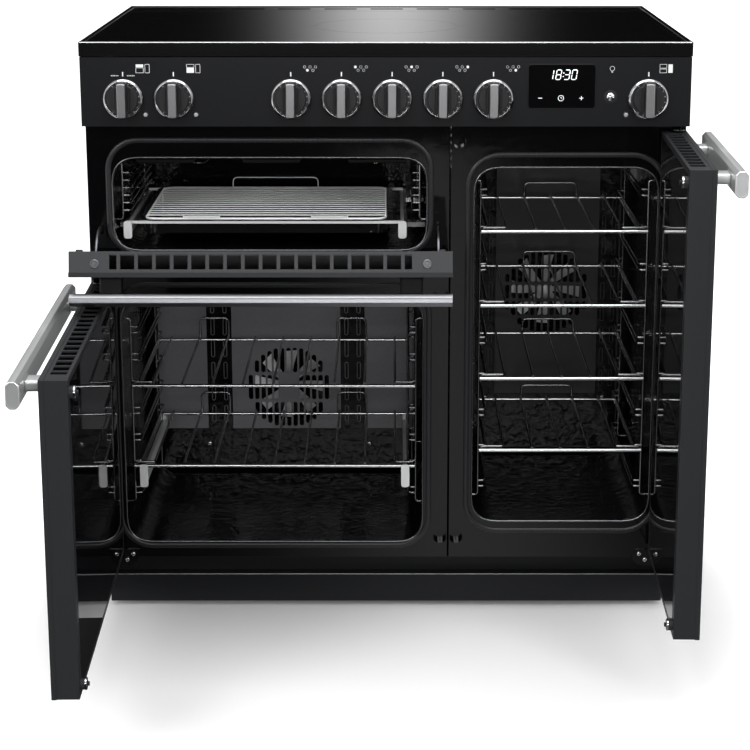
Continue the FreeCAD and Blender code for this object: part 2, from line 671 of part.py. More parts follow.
def rear_rollers():
    """Two rollers that the back of the cooker moves on."""
    rollers = []
    for x in (-FOOT_X, FOOT_X):
        start = V(x - ROLLER_W / 2, ROLLER_Y, ROLLER_R)
        along = X_AXIS * ROLLER_W
        rollers.append(rod(ROLLER_R, start, along).cut(rod(ROLLER_AXLE_R + RUNNING, start, along)))
    return group(*rollers)


def plinth():
    """Kick plate with a ledge that hooks under the base's front skirt."""
    reach = HALF - PLINTH_END_GAP
    back = PLINTH_SETBACK + BASE_T
    pieces = [box(-reach, reach, PLINTH_SETBACK, back, PLINTH_BOTTOM, PLINTH_TOP),
              box(-reach, reach, PLINTH_SETBACK, BASE_SETBACK + BASE_T,
                  PLINTH_TOP - BASE_T, PLINTH_TOP)]
    for x in (-reach, reach - BASE_T):
        pieces.append(box(x, x + BASE_T, PLINTH_SETBACK, BASE_SETBACK, PLINTH_BOTTOM, PLINTH_TOP))
    return weld(*pieces)


def side_panels():
    """Left and right outer panels."""
    return group(*[box(x, x + SHEET, 0, BODY_BACK, SKIRT_BOTTOM, TRIM_BOTTOM)
                   for x in (-HALF, INNER_HALF)])


def back_panel():
    """Back panel with two fields of louvres and the hole for the cable gland."""
    panel = box(-INNER_HALF, INNER_HALF, BODY_BACK - SHEET, BODY_BACK, SKIRT_BOTTOM, TRIM_BOTTOM)
    cuts = [rod(GLAND_R + FIT, V(TERMINAL_X, BODY_BACK - 2 * SHEET, TERMINAL_Z), Y_AXIS * 4)]
    for x in LOUVRE_XS:
        for i in range(LOUVRES):
            z = LOUVRE_LOW + i * LOUVRE_PITCH
            cuts.append(box(x - LOUVRE_L / 2, x + LOUVRE_L / 2, BODY_BACK - 2 * SHEET,
                            BODY_BACK + SHEET, z, z + LOUVRE_H))
    return panel.cut(cuts)


def terminal_box():
    """Supply terminal box on the back panel, with its cable gland."""
    inside = BODY_BACK - SHEET
    housing = box(TERMINAL_X - TERMINAL_W / 2, TERMINAL_X + TERMINAL_W / 2, inside - TERMINAL_D,
                  inside, TERMINAL_Z - TERMINAL_H / 2, TERMINAL_Z + TERMINAL_H / 2)
    gland = rod(GLAND_R, V(TERMINAL_X, inside - SHEET, TERMINAL_Z),
                Y_AXIS * (2 * SHEET + GLAND_PROUD))
    mouth = V(TERMINAL_X, BODY_BACK + GLAND_PROUD, TERMINAL_Z)
    return weld(housing, gland).cut(rod(GLAND_BORE_R, mouth, Y_AXIS * -GLAND_BORE_L))


def service_deck():
    """Sheet that closes the oven compartment below the hob and its electronics."""
    return box(-INNER_HALF, INNER_HALF, 0, BODY_BACK - SHEET, FRAME_TOP, FRAME_TOP + SHEET)


def stay_slot(y0, y1, grow):
    """Height range that the quadrant stay sweeps between two planes, about the grill pin."""
    deep = [abs(y - GRILL_PIVOT_Y) for y in (y0, y1)]
    low = math.sqrt((STAY_R - STAY_W / 2) ** 2 - max(deep) ** 2) - grow
    high = math.sqrt((STAY_R + STAY_W / 2) ** 2 - min(deep) ** 2) + grow
    return GRILL_PIVOT_Z + low, GRILL_PIVOT_Z + high


def both_ends(near, far):
    """The two X ranges that lie from near to far inside each end of the grill door."""
    x0 = -HINGE_EDGE
    x1 = SEAM_X - DOOR_SEAM_GAP
    return ((x0 + near, x0 + far), (x1 - far, x1 - near))


def stay_cuts():
    """Slots that the stays run through, in the frame and its guide plates."""
    low, high = stay_slot(-GUIDE_T, FRAME_T, SLOT_CLEAR)
    near = RIB_IN + RIB_T - SLOT_CLEAR
    far = RIB_IN + RIB_T + STAY_T + SLOT_CLEAR
    return [box(x0, x1, -GUIDE_T - 1, FRAME_T + 1, low, high) for x0, x1 in both_ends(near, far)]


def catch_places():
    """Middle of each catch of the shut doors: left low, left high, right low, right high."""
    left_x = SEAM_X - DOOR_SEAM_GAP - CATCH_IN
    right_x = SEAM_X + DOOR_SEAM_GAP + CATCH_IN
    low = DOOR_BOTTOM + CATCH_UP
    return ((left_x, low), (left_x, LEFT_DOOR_TOP - CATCH_UP),
            (right_x, low), (right_x, DOOR_TOP - CATCH_UP))


def front_frame(x0, x1, cavities, cuts):
    """Enamelled front of one module, folded back outside and folded in at each mouth."""
    plate = box(x0, x1, 0, FRAME_T, FRAME_BOTTOM, FRAME_TOP)
    flange = ring(x0, x1, FRAME_BOTTOM, FRAME_TOP, FRAME_T, 0, FRAME_FLANGE)
    lips = [cavity.slab(FRAME_T, 0, LIP_DEPTH) for cavity in cavities]
    mouths = [cavity.slab(0, -1, LIP_DEPTH + 1) for cavity in cavities]
    return weld(plate, flange, *lips).cut(mouths + cuts)


def front_frames():
    """The left frame with the grill and wide oven mouths, and the right frame with the tall one."""
    holes = [rod(CATCH_R + CATCH_HOLE_CLEAR, V(x, -1, z), Y_AXIS * (FRAME_T + 2))
             for x, z in catch_places()]
    left = front_frame(-INNER_HALF, SEAM_X - FRAME_SEAM_GAP, (GRILL, LEFT),
                       holes[:2] + stay_cuts())
    right = front_frame(SEAM_X + FRAME_SEAM_GAP, INNER_HALF, (RIGHT,), holes[2:])
    return group(left, right)


def cavity_seals():
    """Door seal round each mouth."""
    return group(*[cavity.seal_slab(SEAL_W, -SEAL_PROUD, 0).cut(
        cavity.seal_slab(0, -SEAL_PROUD - 1, 1)) for cavity in CAVITIES])


# ---- fascia and controls ----------------------------------------------------------------------
def display_range(grow):
    """X and Z range of the display window, grown all round."""
    return (DISPLAY_X - DISPLAY_W / 2 - grow, DISPLAY_X + DISPLAY_W / 2 + grow,
            DISPLAY_Z - DISPLAY_H / 2 - grow, DISPLAY_Z + DISPLAY_H / 2 + grow)


def control_panel():
    """Fascia folded from one sheet, with its holes."""
    face = -FASCIA_FACE
    back = face + FASCIA_T
    pieces = [box(-INNER_HALF, INNER_HALF, face, back, FASCIA_BOTTOM, FASCIA_TOP),
              box(-INNER_HALF, INNER_HALF, face, 0, FASCIA_BOTTOM, FASCIA_BOTTOM + FASCIA_T),
              box(-INNER_HALF, INNER_HALF, face, face + FASCIA_TOP_FOLD,
                  FASCIA_TOP - FASCIA_T, FASCIA_TOP)]
    for x in (-INNER_HALF, INNER_HALF - FASCIA_T):
        pieces.append(box(x, x + FASCIA_T, face, 0, FASCIA_BOTTOM, FASCIA_TOP))
    through = Y_AXIS * (FASCIA_T + 2)
    cuts = [rod(SPINDLE_HOLE_R, V(x, face - 1, CONTROL_Z), through) for x in KNOB_XS]
    cuts += [rod(NEON_R, V(x, face - 1, NEON_Z), through) for x in NEON_XS]
    cuts.append(rod(BUTTON_R + BUTTON_FIT, V(BUTTON_X, face - 1, BUTTON_Z), through))
    x0, x1, z0, z1 = display_range(0)
    cuts.append(box(x0, x1, face - 1, back + 1, z0, z1))
    return weld(*pieces).cut(cuts)


def panel_lenses():
    """Display window and three neon lenses, each clipped in from behind."""
    face = -FASCIA_FACE
    back = face + FASCIA_T
    x0, x1, z0, z1 = display_range(0)
    window = box(x0, x1, face, back, z0, z1)
    x0, x1, z0, z1 = display_range(DISPLAY_BEZEL)
    lenses = [weld(window, box(x0, x1, back, back + DISPLAY_T, z0, z1))]
    for x in NEON_XS:
        lens = rod(NEON_R, V(x, face - NEON_PROUD, NEON_Z), Y_AXIS * (NEON_PROUD + FASCIA_T))
        body = rod(NEON_R + NEON_PROUD, V(x, back, NEON_Z), Y_AXIS * NEON_BODY_L)
        lenses.append(weld(lens, body))
    return group(*lenses)


def control_switches():
    """Rotary switch behind every knob and the push switch behind the light button."""
    back = -FASCIA_FACE + FASCIA_T
    half = SWITCH_SIZE / 2
    switches = []
    for x in KNOB_XS:
        bush = rod(SWITCH_BUSH_R, V(x, back, CONTROL_Z), Y_AXIS * SWITCH_BUSH_L)
        block = box(x - half, x + half, back + SWITCH_BUSH_L, back + SWITCH_BUSH_L + SWITCH_D,
                    CONTROL_Z - half, CONTROL_Z + half)
        bore = rod(SPINDLE_BORE_R, V(x, back - 1, CONTROL_Z),
                   Y_AXIS * (SWITCH_BUSH_L + SPINDLE_TAIL + 2))
        switches.append(weld(bush, block).cut(bore))
    pocket_r = BUTTON_R + BUTTON_FLANGE + FIT
    pocket_l = BUTTON_FLANGE_T + BUTTON_TRAVEL + 2 * FIT
    housing = rod(pocket_r + SHEET, V(BUTTON_X, back, BUTTON_Z), Y_AXIS * (pocket_l + SWITCH_BUSH_R))
    switches.append(housing.cut(rod(pocket_r, V(BUTTON_X, back, BUTTON_Z), Y_AXIS * pocket_l)))
    return group(*switches)


def knob(x):
    """Knob with its numbered skirt, dial and spindle, and the grip bar across it."""
    back = -FASCIA_FACE - KNOB_GAP
    skirt = drum(V(x, back, CONTROL_Z), -Y_AXIS,
                 ((0, KNOB_R), (SKIRT_H - KNOB_BEVEL, KNOB_R), (SKIRT_H, KNOB_R - KNOB_BEVEL)),
                 KNOB_SIDES)
    front = back - SKIRT_H
    dial = drum(V(x, front, CONTROL_Z), -Y_AXIS, ((0, DIAL_R), (DIAL_H, DIAL_R)), KNOB_SIDES)
    tail = -FASCIA_FACE + FASCIA_T + SWITCH_BUSH_L + SPINDLE_TAIL
    spindle = bar([V(x, back - SPINDLE_BITE, CONTROL_Z), V(x, tail, CONTROL_Z)], SPINDLE_FLATS, 6)
    front -= DIAL_H
    crown = drum(V(x, front, CONTROL_Z), -Y_AXIS, ((0, GRIP_CROWN_R), (GRIP_H, GRIP_CROWN_R)),
                 KNOB_SIDES)
    blank = box(x - GRIP_W / 2, x + GRIP_W / 2, front - GRIP_H, front,
                CONTROL_Z - KNOB_R, CONTROL_Z + KNOB_R)
    return group(weld(skirt, dial, spindle), crown.common(blank))


def light_button():
    """Push button with the flange that keeps it behind the fascia."""
    back = -FASCIA_FACE + FASCIA_T + BUTTON_FIT
    cap = rod(BUTTON_R, V(BUTTON_X, -FASCIA_FACE - BUTTON_PROUD, BUTTON_Z),
              Y_AXIS * (BUTTON_PROUD + FASCIA_T + BUTTON_FIT + BUTTON_FLANGE_T))
    flange = rod(BUTTON_R + BUTTON_FLANGE, V(BUTTON_X, back, BUTTON_Z), Y_AXIS * BUTTON_FLANGE_T)
    return weld(cap, flange)


# ---- hob --------------------------------------------------------------------------------------
def hob_trim():
    """Folded trim round the hob, with the ledge that the glass and the rear strip lie on."""
    outline = (-HALF, HALF, HOB_FRONT, BODY_BACK)
    ledge_top = HOB_TOP - GLASS_DROP - HOB_GLASS_T
    return weld(flat_ring(*outline, TRIM_T, TRIM_BOTTOM, HOB_TOP),
                flat_ring(*outline, TRIM_LIP, HOB_TOP - TRIM_T, HOB_TOP),
                flat_ring(*outline, TRIM_LEDGE, ledge_top - TRIM_T, ledge_top),
                box(-HALF + TRIM_T, HALF - TRIM_T, GLASS_BACK - TRIM_LEDGE / 2,
                    GLASS_BACK + TRIM_LEDGE / 2, ledge_top - TRIM_T, ledge_top))


def hob_glass():
    """Ceramic glass, lying in the trim."""
    side = HALF - TRIM_LIP - FIT
    top = HOB_TOP - GLASS_DROP
    return box(-side, side, HOB_FRONT + TRIM_LIP + FIT, GLASS_BACK - FIT, top - HOB_GLASS_T, top)


def rear_vent():
    """Slotted strip behind the glass, where the oven air leaves."""
    side = HALF - TRIM_LIP - FIT
    top = HOB_TOP - GLASS_DROP
    back = BODY_BACK - TRIM_LIP - FIT
    strip = box(-side, side, GLASS_BACK, back, top - HOB_GLASS_T, top)
    pitch = 2 * side / STRIP_SLOTS
    middle = (GLASS_BACK + TRIM_LEDGE / 2 + back) / 2
    cuts = []
    for i in range(STRIP_SLOTS):
        x = (i - (STRIP_SLOTS - 1) / 2) * pitch
        for y in (middle - STRIP_SLOT_W, middle + STRIP_SLOT_W):
            cuts.append(box(x - STRIP_SLOT_L / 2, x + STRIP_SLOT_L / 2, y - STRIP_SLOT_W / 2,
                            y + STRIP_SLOT_W / 2, top - HOB_GLASS_T - 1, top + 1))
    return strip.cut(cuts)


def induction_unit():
    """Coil tray between the side panels, five coils on it and two power modules below."""
    tray_z = HOB_TOP - COIL_TRAY_DROP
    pieces = [box(-INNER_HALF, INNER_HALF, 0, GLASS_BACK, tray_z,
                  tray_z + TRIM_T)]
    for x, y, radius in ZONES:
        pieces.append(rod(radius, V(x, y, tray_z + TRIM_T), Z_AXIS * COIL_T))
    for x in (-MODULE_X, MODULE_X):
        pieces.append(box(x - MODULE_W / 2, x + MODULE_W / 2, MODULE_Y, MODULE_Y + MODULE_D,
                          tray_z - MODULE_H, tray_z))
    return group(*pieces)


# ---- ovens and grill --------------------------------------------------------------------------
def element_hole(x, z, y):
    """Hole in a liner's back for one end of a heating element."""
    return rod(ELEMENT_D / 2 + ELEMENT_HOLE_CLEAR, V(x, y - 1, z), Y_AXIS * (LINER_T + 2))


def ring_ends(fan_x, fan_z):
    """Where the two ends of a ring element leave the ring."""
    turn = math.pi / RING_SIDES
    return [(fan_x + RING_R * math.sin(side * turn), fan_z - RING_R * math.cos(turn))
            for side in (-1, 1)]


def roof_runs(cavity, runs):
    """X of each run of a roof element."""
    inset = ROOF_INSET
    step = (cavity.x1 - cavity.x0 - 2 * inset) / (runs - 1)
    return [cavity.x0 + inset + i * step for i in range(runs)]


def liner(cavity, fan, roof_count):
    """Enamelled liner that sleeves over the mouth's lip, open to the front."""
    inner = FRAME_T + LINER_GAP
    outer = inner + LINER_T
    shell = weld(cavity.slab(outer, FRAME_T, cavity.depth + LINER_T),
                 cavity.slab(outer + LINER_FLANGE, FRAME_T, FRAME_T + LINER_T))
    cuts = [cavity.slab(inner, FRAME_T - 1, cavity.depth)]
    if fan:
        cuts.append(rod(SHAFT_HOLE_R, V(fan[0], cavity.depth - 1, fan[1]), Y_AXIS * (LINER_T + 2)))
        cuts += [element_hole(x, z, cavity.depth) for x, z in ring_ends(*fan)]
    if roof_count:
        xs = roof_runs(cavity, roof_count)
        cuts += [element_hole(x, cavity.roof - ROOF_DROP, cavity.depth) for x in (xs[0], xs[-1])]
    return shell.cut(cuts)


def slot_outline(x, z0, z1):
    """Upright slot with chamfered ends, drawn through the back cover."""
    half = FAN_SLOT_W / 2
    cut = FAN_SLOT_W * (1 - math.sqrt(0.5))
    y = COVER_Y - 1
    return prism([V(x - half, y, z0 + cut), V(x - half + cut, y, z0), V(x + half - cut, y, z0),
                  V(x + half, y, z0 + cut), V(x + half, y, z1 - cut), V(x + half - cut, y, z1),
                  V(x - half + cut, y, z1), V(x - half, y, z1 - cut)], V(0, COVER_T + 2, 0))


def fan_slots(fan_x, fan_z, bands, blank):
    """Columns of upright slots that fill a round field, in bands; blank leaves the middle plain."""
    slots = []
    columns = int(FIELD_R / FAN_SLOT_PITCH)
    band_h = 2 * FIELD_R / bands
    for column in range(-columns, columns + 1):
        x = column * FAN_SLOT_PITCH
        reach = math.sqrt(FIELD_R ** 2 - x ** 2)
        for band in range(bands):
            low = max(-reach, -FIELD_R + band * band_h + FAN_SLOT_GAP / 2)
            high = min(reach, -FIELD_R + (band + 1) * band_h - FAN_SLOT_GAP / 2)
            in_blank = abs(x) < blank and band == bands // 2
            if high - low > 1.5 * FAN_SLOT_W and not in_blank:
                slots.append(slot_outline(fan_x + x, fan_z + low, fan_z + high))
    return slots


def back_cover(cavity, fan_x, fan_z, bands, blank, duct):
    """Cover in front of a fan: slots before the fan, a tall outlet each side, four stand-offs."""
    duct_x, duct_w, duct_h = duct
    x0 = cavity.wall_x0 + COVER_SIDE
    x1 = cavity.wall_x1 - COVER_SIDE
    z0 = cavity.floor + COVER_FLOOR
    z1 = cavity.roof - COVER_TOP
    plate = box(x0, x1, COVER_Y, COVER_Y + COVER_T, z0, z1)
    cuts = fan_slots(fan_x, fan_z, bands, blank)
    middle = (z0 + z1) / 2
    for x in (fan_x - duct_x, fan_x + duct_x):
        cuts.append(box(x - duct_w / 2, x + duct_w / 2, COVER_Y - 1, COVER_Y + COVER_T + 1,
                        middle - duct_h / 2, middle + duct_h / 2))
    legs = []
    for x in (x0 + STANDOFF_IN, x1 - STANDOFF_IN):
        for z in (z0 + STANDOFF_IN, z1 - STANDOFF_IN):
            legs.append(bar([V(x, COVER_Y + COVER_T, z), V(x, cavity.depth, z)], STANDOFF_FLATS, 6))
    return weld(plate.cut(cuts), *legs)


def fan_covers():
    """Back covers of both ovens."""
    return group(back_cover(LEFT, LEFT_FAN_X, LEFT_FAN_Z, LEFT_BANDS, HUB_BLANK,
                            (LEFT_DUCT_X, LEFT_DUCT_W, LEFT_DUCT_H)),
                 back_cover(RIGHT, RIGHT_FAN_X, RIGHT_FAN_Z, RIGHT_BANDS, 0,
                            (RIGHT_DUCT_X, RIGHT_DUCT_W, RIGHT_DUCT_H)))


def fan(x, z):
    """Circulation fan: hub, back disc and swept blades on their shaft."""
    motor_face = OVEN_DEPTH + LINER_T
    corners = [V(x + FAN_R * math.sin(2 * math.pi * i / FAN_BLADES), FAN_BACK,
                 z + FAN_R * math.cos(2 * math.pi * i / FAN_BLADES)) for i in range(FAN_BLADES)]
    disc = prism(corners, Y_AXIS * BLADE_T)
    hub = rod(HUB_R, V(x, FAN_BACK - BLADE_W, z), Y_AXIS * BLADE_W)
    shaft = rod(SHAFT_R, V(x, FAN_BACK - BLADE_W, z),
                Y_AXIS * (motor_face + SHAFT_BITE - FAN_BACK + BLADE_W))
    blades = []
    for i in range(FAN_BLADES):
        blade = box(x - BLADE_T / 2, x + BLADE_T / 2, FAN_BACK - BLADE_W, FAN_BACK,
                    z + BLADE_ROOT_R, z + FAN_R - BLADE_T)
        blade.rotate(V(x, 0, z + BLADE_ROOT_R), Y_AXIS, BLADE_SWEEP)
        blade.rotate(V(x, 0, z), Y_AXIS, 360 * (i + 0.5) / FAN_BLADES)
        blades.append(blade)
    return weld(disc, hub, shaft, *blades)


def fan_motors():
    """Motor of each fan, bolted behind its liner."""
    face = OVEN_DEPTH + LINER_T
    motors = []
    for x, z in ((LEFT_FAN_X, LEFT_FAN_Z), (RIGHT_FAN_X, RIGHT_FAN_Z)):
        flange = rod(MOTOR_FLANGE_R, V(x, face, z), Y_AXIS * BASE_T)
        can = rod(MOTOR_R, V(x, face, z), Y_AXIS * MOTOR_L)
        bore = rod(SHAFT_R + RUNNING, V(x, face - 1, z), Y_AXIS * (SHAFT_BITE + 2))
        motors.append(weld(flange, can).cut(bore))
    return group(*motors)


def ring_element(x, z):
    """Ring element round a fan, with both ends through the liner's back."""
    y = FAN_BACK - BLADE_W / 2
    ends = ring_ends(x, z)
    points = [V(ends[0][0], OVEN_DEPTH + ELEMENT_TAIL, ends[0][1]), V(ends[0][0], y, ends[0][1])]
    for i in range(1, RING_SIDES - 1):
        turn = math.pi / RING_SIDES + 2 * math.pi * i / RING_SIDES
        points.append(V(x - RING_R * math.sin(turn), y, z - RING_R * math.cos(turn)))
    points += [V(ends[1][0], y, ends[1][1]), V(ends[1][0], OVEN_DEPTH + ELEMENT_TAIL, ends[1][1])]
    plate = box(ends[0][0] - ELEMENT_D, ends[1][0] + ELEMENT_D, OVEN_DEPTH - ELEMENT_PLATE,
                OVEN_DEPTH, ends[0][1] - ELEMENT_D, ends[0][1] + ELEMENT_D)
    return weld(bar(points, ELEMENT_D, 6), plate)


def roof_element(cavity, runs):
    """Element that snakes to and fro under a roof, with both ends through the back."""
    z = cavity.roof - ROOF_DROP
    points = []
    plates = []
    for i, x in enumerate(roof_runs(cavity, runs)):
        outer = i in (0, runs - 1)
        back = cavity.depth + ELEMENT_TAIL if outer else cavity.depth - ROOF_BACK_GAP
        ends = [V(x, back, z), V(x, ROOF_FRONT, z)]
        points += ends if i % 2 == 0 else ends[::-1]
        if outer:
            plates.append(box(x - ELEMENT_D, x + ELEMENT_D, cavity.depth - ELEMENT_PLATE,
                              cavity.depth, z - ELEMENT_D, z + ELEMENT_D))
    return weld(bar(points, ELEMENT_D, 6), *plates)


def heating_elements():
    """Ring element round each fan and the roof elements of the grill and the wide oven."""
    return group(ring_element(LEFT_FAN_X, LEFT_FAN_Z), ring_element(RIGHT_FAN_X, RIGHT_FAN_Z),
                 roof_element(GRILL, GRILL_RUNS), roof_element(LEFT, LEFT_RUNS))


def oven_lamps():
    """One lamp lens high on a side wall of each oven."""
    lamps = []
    for cavity in (LEFT, RIGHT):
        start = V(cavity.wall_x1, LAMP_Y, cavity.roof - LAMP_DOWN)
        lamps.append(drum(start, -X_AXIS, ((0, LAMP_R), (LAMP_PROUD / 3, LAMP_R),
                                           (LAMP_PROUD, LAMP_R * 2 / 3)), 16))
    return group(*lamps)


# ---- ladders and rails ------------------------------------------------------------------------
def from_wall(cavity, side, distance):
    """X at a distance from the left (-1) or right (1) wall of a cavity."""
    return cavity.wall_x0 + distance if side < 0 else cavity.wall_x1 - distance


def pair_heights(lowest, pitch, levels):
    """Heights of both rungs of every pair of a ladder."""
    return [lowest + pitch * level + up for level in range(levels)
            for up in (-PAIR_GAP / 2, PAIR_GAP / 2)]


def ladder(cavity, side, heights, back):
    """Wire ladder on one wall: two uprights with their ends turned to the wall, and its rungs."""
    upright = from_wall(cavity, side, UPRIGHT_IN)
    rung = from_wall(cavity, side, RUNG_IN)
    low = heights[0] - LADDER_PAST
    high = heights[-1] + LADDER_PAST
    half = UPRIGHT_D / 2
    foot = from_wall(cavity, side, cavity.curve_in(low - half, low + half))
    head = from_wall(cavity, side, cavity.curve_in(high - half, high + half))
    wires = []
    for y in (LADDER_FRONT, back):
        wires.append(bar([V(foot, y, low), V(upright, y, low), V(upright, y, high),
                          V(head, y, high)], UPRIGHT_D, WIRE_SIDES))
    for z in heights:
        wires.append(bar([V(upright, LADDER_FRONT, z), V(rung, LADDER_FRONT, z), V(rung, back, z),
                          V(upright, back, z)], RUNG_D, WIRE_SIDES))
    return weld(*wires)


def left_rail(side, fixed):
    """Fixed or moving half of a telescopic rail in the wide oven."""
    near = RUNG_IN - FIXED_RAIL_W / 2
    if not fixed:
        near += FIXED_RAIL_W + RAIL_GAP
    far = near + (FIXED_RAIL_W if fixed else MOVING_RAIL_W)
    xs = sorted((from_wall(LEFT, side, near), from_wall(LEFT, side, far)))
    top = RAIL_UP + RAIL_H
    rail = box(xs[0], xs[1], SHELF_FRONT - FRONT_RAIL_D / 2, RAIL_BACK, RAIL_UP, top)
    if fixed:
        below = LEFT_LOWEST + LEFT_PITCH * (LEFT_LOWER_LEVEL - 1) + PAIR_GAP / 2 + RUNG_D / 2
        above = LEFT_LOWEST + LEFT_PITCH * LEFT_LOWER_LEVEL - PAIR_GAP / 2 - RUNG_D / 2
        clips = [box(xs[0], xs[1], y, y + CLIP_L, low, high)
                 for y in (2 * LADDER_FRONT, RAIL_BACK - LADDER_FRONT)
                 for low, high in ((below, RAIL_UP), (top, above))]
        return group(rail, *clips)
    seat = shelf_height(LEFT_LOWEST, LEFT_PITCH, LEFT_LOWER_LEVEL)
    risers = [box(xs[0], xs[1], y - size / 2, y + size / 2, top, z - size / 2)
              for y, size, z in ((SHELF_FRONT, FRONT_RAIL_D, seat), rear_rail_place(seat))]
    return weld(rail, *risers)


def glide_plate(middle_x, low, height):
    """Bright end plate on the front of a moving rail."""
    front = SHELF_FRONT - FRONT_RAIL_D / 2
    return rounded(middle_x - GLIDE_PLATE_W / 2, middle_x + GLIDE_PLATE_W / 2, low, low + height,
                   GLIDE_PLATE_R, front - GLIDE_PLATE_T, front)


def shelf_supports():
    """Wire ladders of the three cavities, and the fixed halves of the telescopic rails."""
    grill_heights = [GRILL_LOWEST + GRILL_PITCH * level for level in range(GRILL_LEVELS)]
    pieces = []
    for side in (-1, 1):
        pieces += [ladder(GRILL, side, grill_heights, GRILL_LADDER_BACK),
                   ladder(LEFT, side, pair_heights(LEFT_LOWEST, LEFT_PITCH, LEFT_LEVELS),
                          LADDER_BACK),
                   ladder(RIGHT, side, pair_heights(RIGHT_LOWEST, RIGHT_PITCH, RIGHT_LEVELS),
                          LADDER_BACK),
                   left_rail(side, True), grill_fixed_rail(side)]
    return group(*pieces)


def grill_fixed_rail(side):
    """Fixed half of a grill rail, on two struts from the liner's wall."""
    near = GRILL_RAIL_HALF + MOVING_RAIL_W / 2 + RAIL_GAP
    xs = sorted((GRILL_RAIL_MIDDLE + side * near, GRILL_RAIL_MIDDLE + side * (near + FIXED_RAIL_W)))
    low = GRILL_RAIL_TOP - GRILL_RAIL_H
    pieces = [box(xs[0], xs[1], SHELF_FRONT - FRONT_RAIL_D / 2, RAIL_BACK, low, GRILL_RAIL_TOP)]
    middle = GRILL_RAIL_TOP - GRILL_RAIL_H / 2
    under = middle - FIXED_RAIL_W
    wall = from_wall(GRILL, side, GRILL.curve_in(under, middle))
    reach = sorted((wall, xs[0] if side > 0 else xs[1]))
    for y in (2 * LADDER_FRONT, RAIL_BACK - 2 * LADDER_FRONT):
        pieces.append(box(reach[0], reach[1], y, y + RAIL_STRUT, under, middle + FIXED_RAIL_W))
    return weld(*pieces)


def runners_left():
    """Moving halves of the wide oven's telescopic rails, with their end plates."""
    pieces = []
    for side in (-1, 1):
        rail = left_rail(side, False)
        middle = (rail.BoundBox.XMin + rail.BoundBox.XMax) / 2
        low = RAIL_UP - (GLIDE_PLATE_H - RAIL_H - (SHELF_FRONT - FRONT_RAIL_D)) / 2
        pieces.append(weld(rail, glide_plate(middle, low, GLIDE_PLATE_H)))
    return group(*pieces)


def grill_runners():
    """Moving halves of the grill rails and the two cross rails that carry the pan."""
    pieces = []
    low = GRILL_RAIL_TOP - GRILL_RAIL_H
    plate_low = GRILL_RAIL_TOP + GRILL_PLATE_UP - GRILL_PLATE_H
    for side in (-1, 1):
        middle = GRILL_RAIL_MIDDLE + side * GRILL_RAIL_HALF
        rail = box(middle - MOVING_RAIL_W / 2, middle + MOVING_RAIL_W / 2,
                   SHELF_FRONT - FRONT_RAIL_D / 2, RAIL_BACK, low, GRILL_RAIL_TOP)
        pieces.append(weld(rail, glide_plate(middle, plate_low, GRILL_PLATE_H)))
    reach = GRILL_RAIL_HALF + MOVING_RAIL_W / 2
    rim = PAN_RIM_W / 2
    for y in (PAN_FRONT - rim, PAN_FRONT + PAN_DEPTH - 2 * PAN_RIM_W + rim):
        pieces.append(box(GRILL_RAIL_MIDDLE - reach, GRILL_RAIL_MIDDLE + reach,
                          y - CROSS_RAIL_D / 2, y + CROSS_RAIL_D / 2,
                          GRILL_RAIL_TOP, GRILL_RAIL_TOP + CROSS_RAIL_H))
    return group(*pieces)


# ---- wire shelves -----------------------------------------------------------------------------
def shelf_height(lowest, pitch, level):
    """Height of a shelf's rails when its side rails rest on the lower rungs of a pair."""
    return lowest + pitch * level - PAIR_GAP / 2 + RUNG_D / 2 + SIDE_RAIL_D / 2


def rear_rail_place(z):
    """Y, size and height of a shelf's rear rail, its top level with the front rail's."""
    return (SHELF_FRONT + SHELF_DEPTH, REAR_RAIL_D, z + (FRONT_RAIL_D - REAR_RAIL_D) / 2)


def shelf(cavity, z, wires, hook_gap, loops):
    """Wire shelf: rails round it, straight wires, a bent wire each side and rear stops."""
    rear, rear_d, rear_z = rear_rail_place(z)
    wire_z = z + FRONT_RAIL_D / 2 + SHELF_WIRE_D / 2 - WELD
    left = from_wall(cavity, -1, RUNG_IN)
    right = from_wall(cavity, 1, RUNG_IN)
    pitch = (right - left - 2 * hook_gap) / (wires + 1)
    pieces = [bar([V(from_wall(cavity, -1, FRONT_RAIL_END), SHELF_FRONT, z),
                   V(from_wall(cavity, 1, FRONT_RAIL_END), SHELF_FRONT, z)], FRONT_RAIL_D),
              bar([V(left, rear, rear_z), V(right, rear, rear_z)], rear_d)]
    for x in (left, right):
        pieces.append(bar([V(x, SHELF_FRONT, z), V(x, rear, z)], SIDE_RAIL_D))
    front_end = SHELF_FRONT - FRONT_RAIL_D / 2 + WELD
    rear_end = rear + rear_d / 2 - WELD
    for i in range(wires):
        x = cavity.middle + (i - (wires - 1) / 2) * pitch
        pieces.append(bar([V(x, front_end, wire_z), V(x, rear_end, wire_z)], SHELF_WIRE_D,
                          WIRE_SIDES))
    turn_y = SHELF_FRONT + HOOK_BACK
    for side in (-1, 1):
        x = cavity.middle + side * (wires + 1) / 2 * pitch
        end = from_wall(cavity, side, HOOK_IN)
        pieces.append(bar([V(x, rear_end, wire_z), V(x, turn_y, wire_z), V(end, turn_y, wire_z),
                           V(end, turn_y, z)], SHELF_WIRE_D, WIRE_SIDES))
    for x, width, height in loops:
        top = rear_z + height
        half = width / 2
        pieces.append(bar([V(x - half, rear, rear_z), V(x - half, rear, top),
                           V(x + half, rear, top), V(x + half, rear, rear_z)], SHELF_WIRE_D,
                          WIRE_SIDES))
    return weld(*pieces)


def right_shelf(level):
    """Shelf of the tall oven on one pair of rungs."""
    z = shelf_height(RIGHT_LOWEST, RIGHT_PITCH, level)
    return shelf(RIGHT, z, RIGHT_WIRE_COUNT, RIGHT_HOOK_GAP,
                 ((RIGHT.middle, RIGHT_LOOP_W, RIGHT_LOOP_H),))


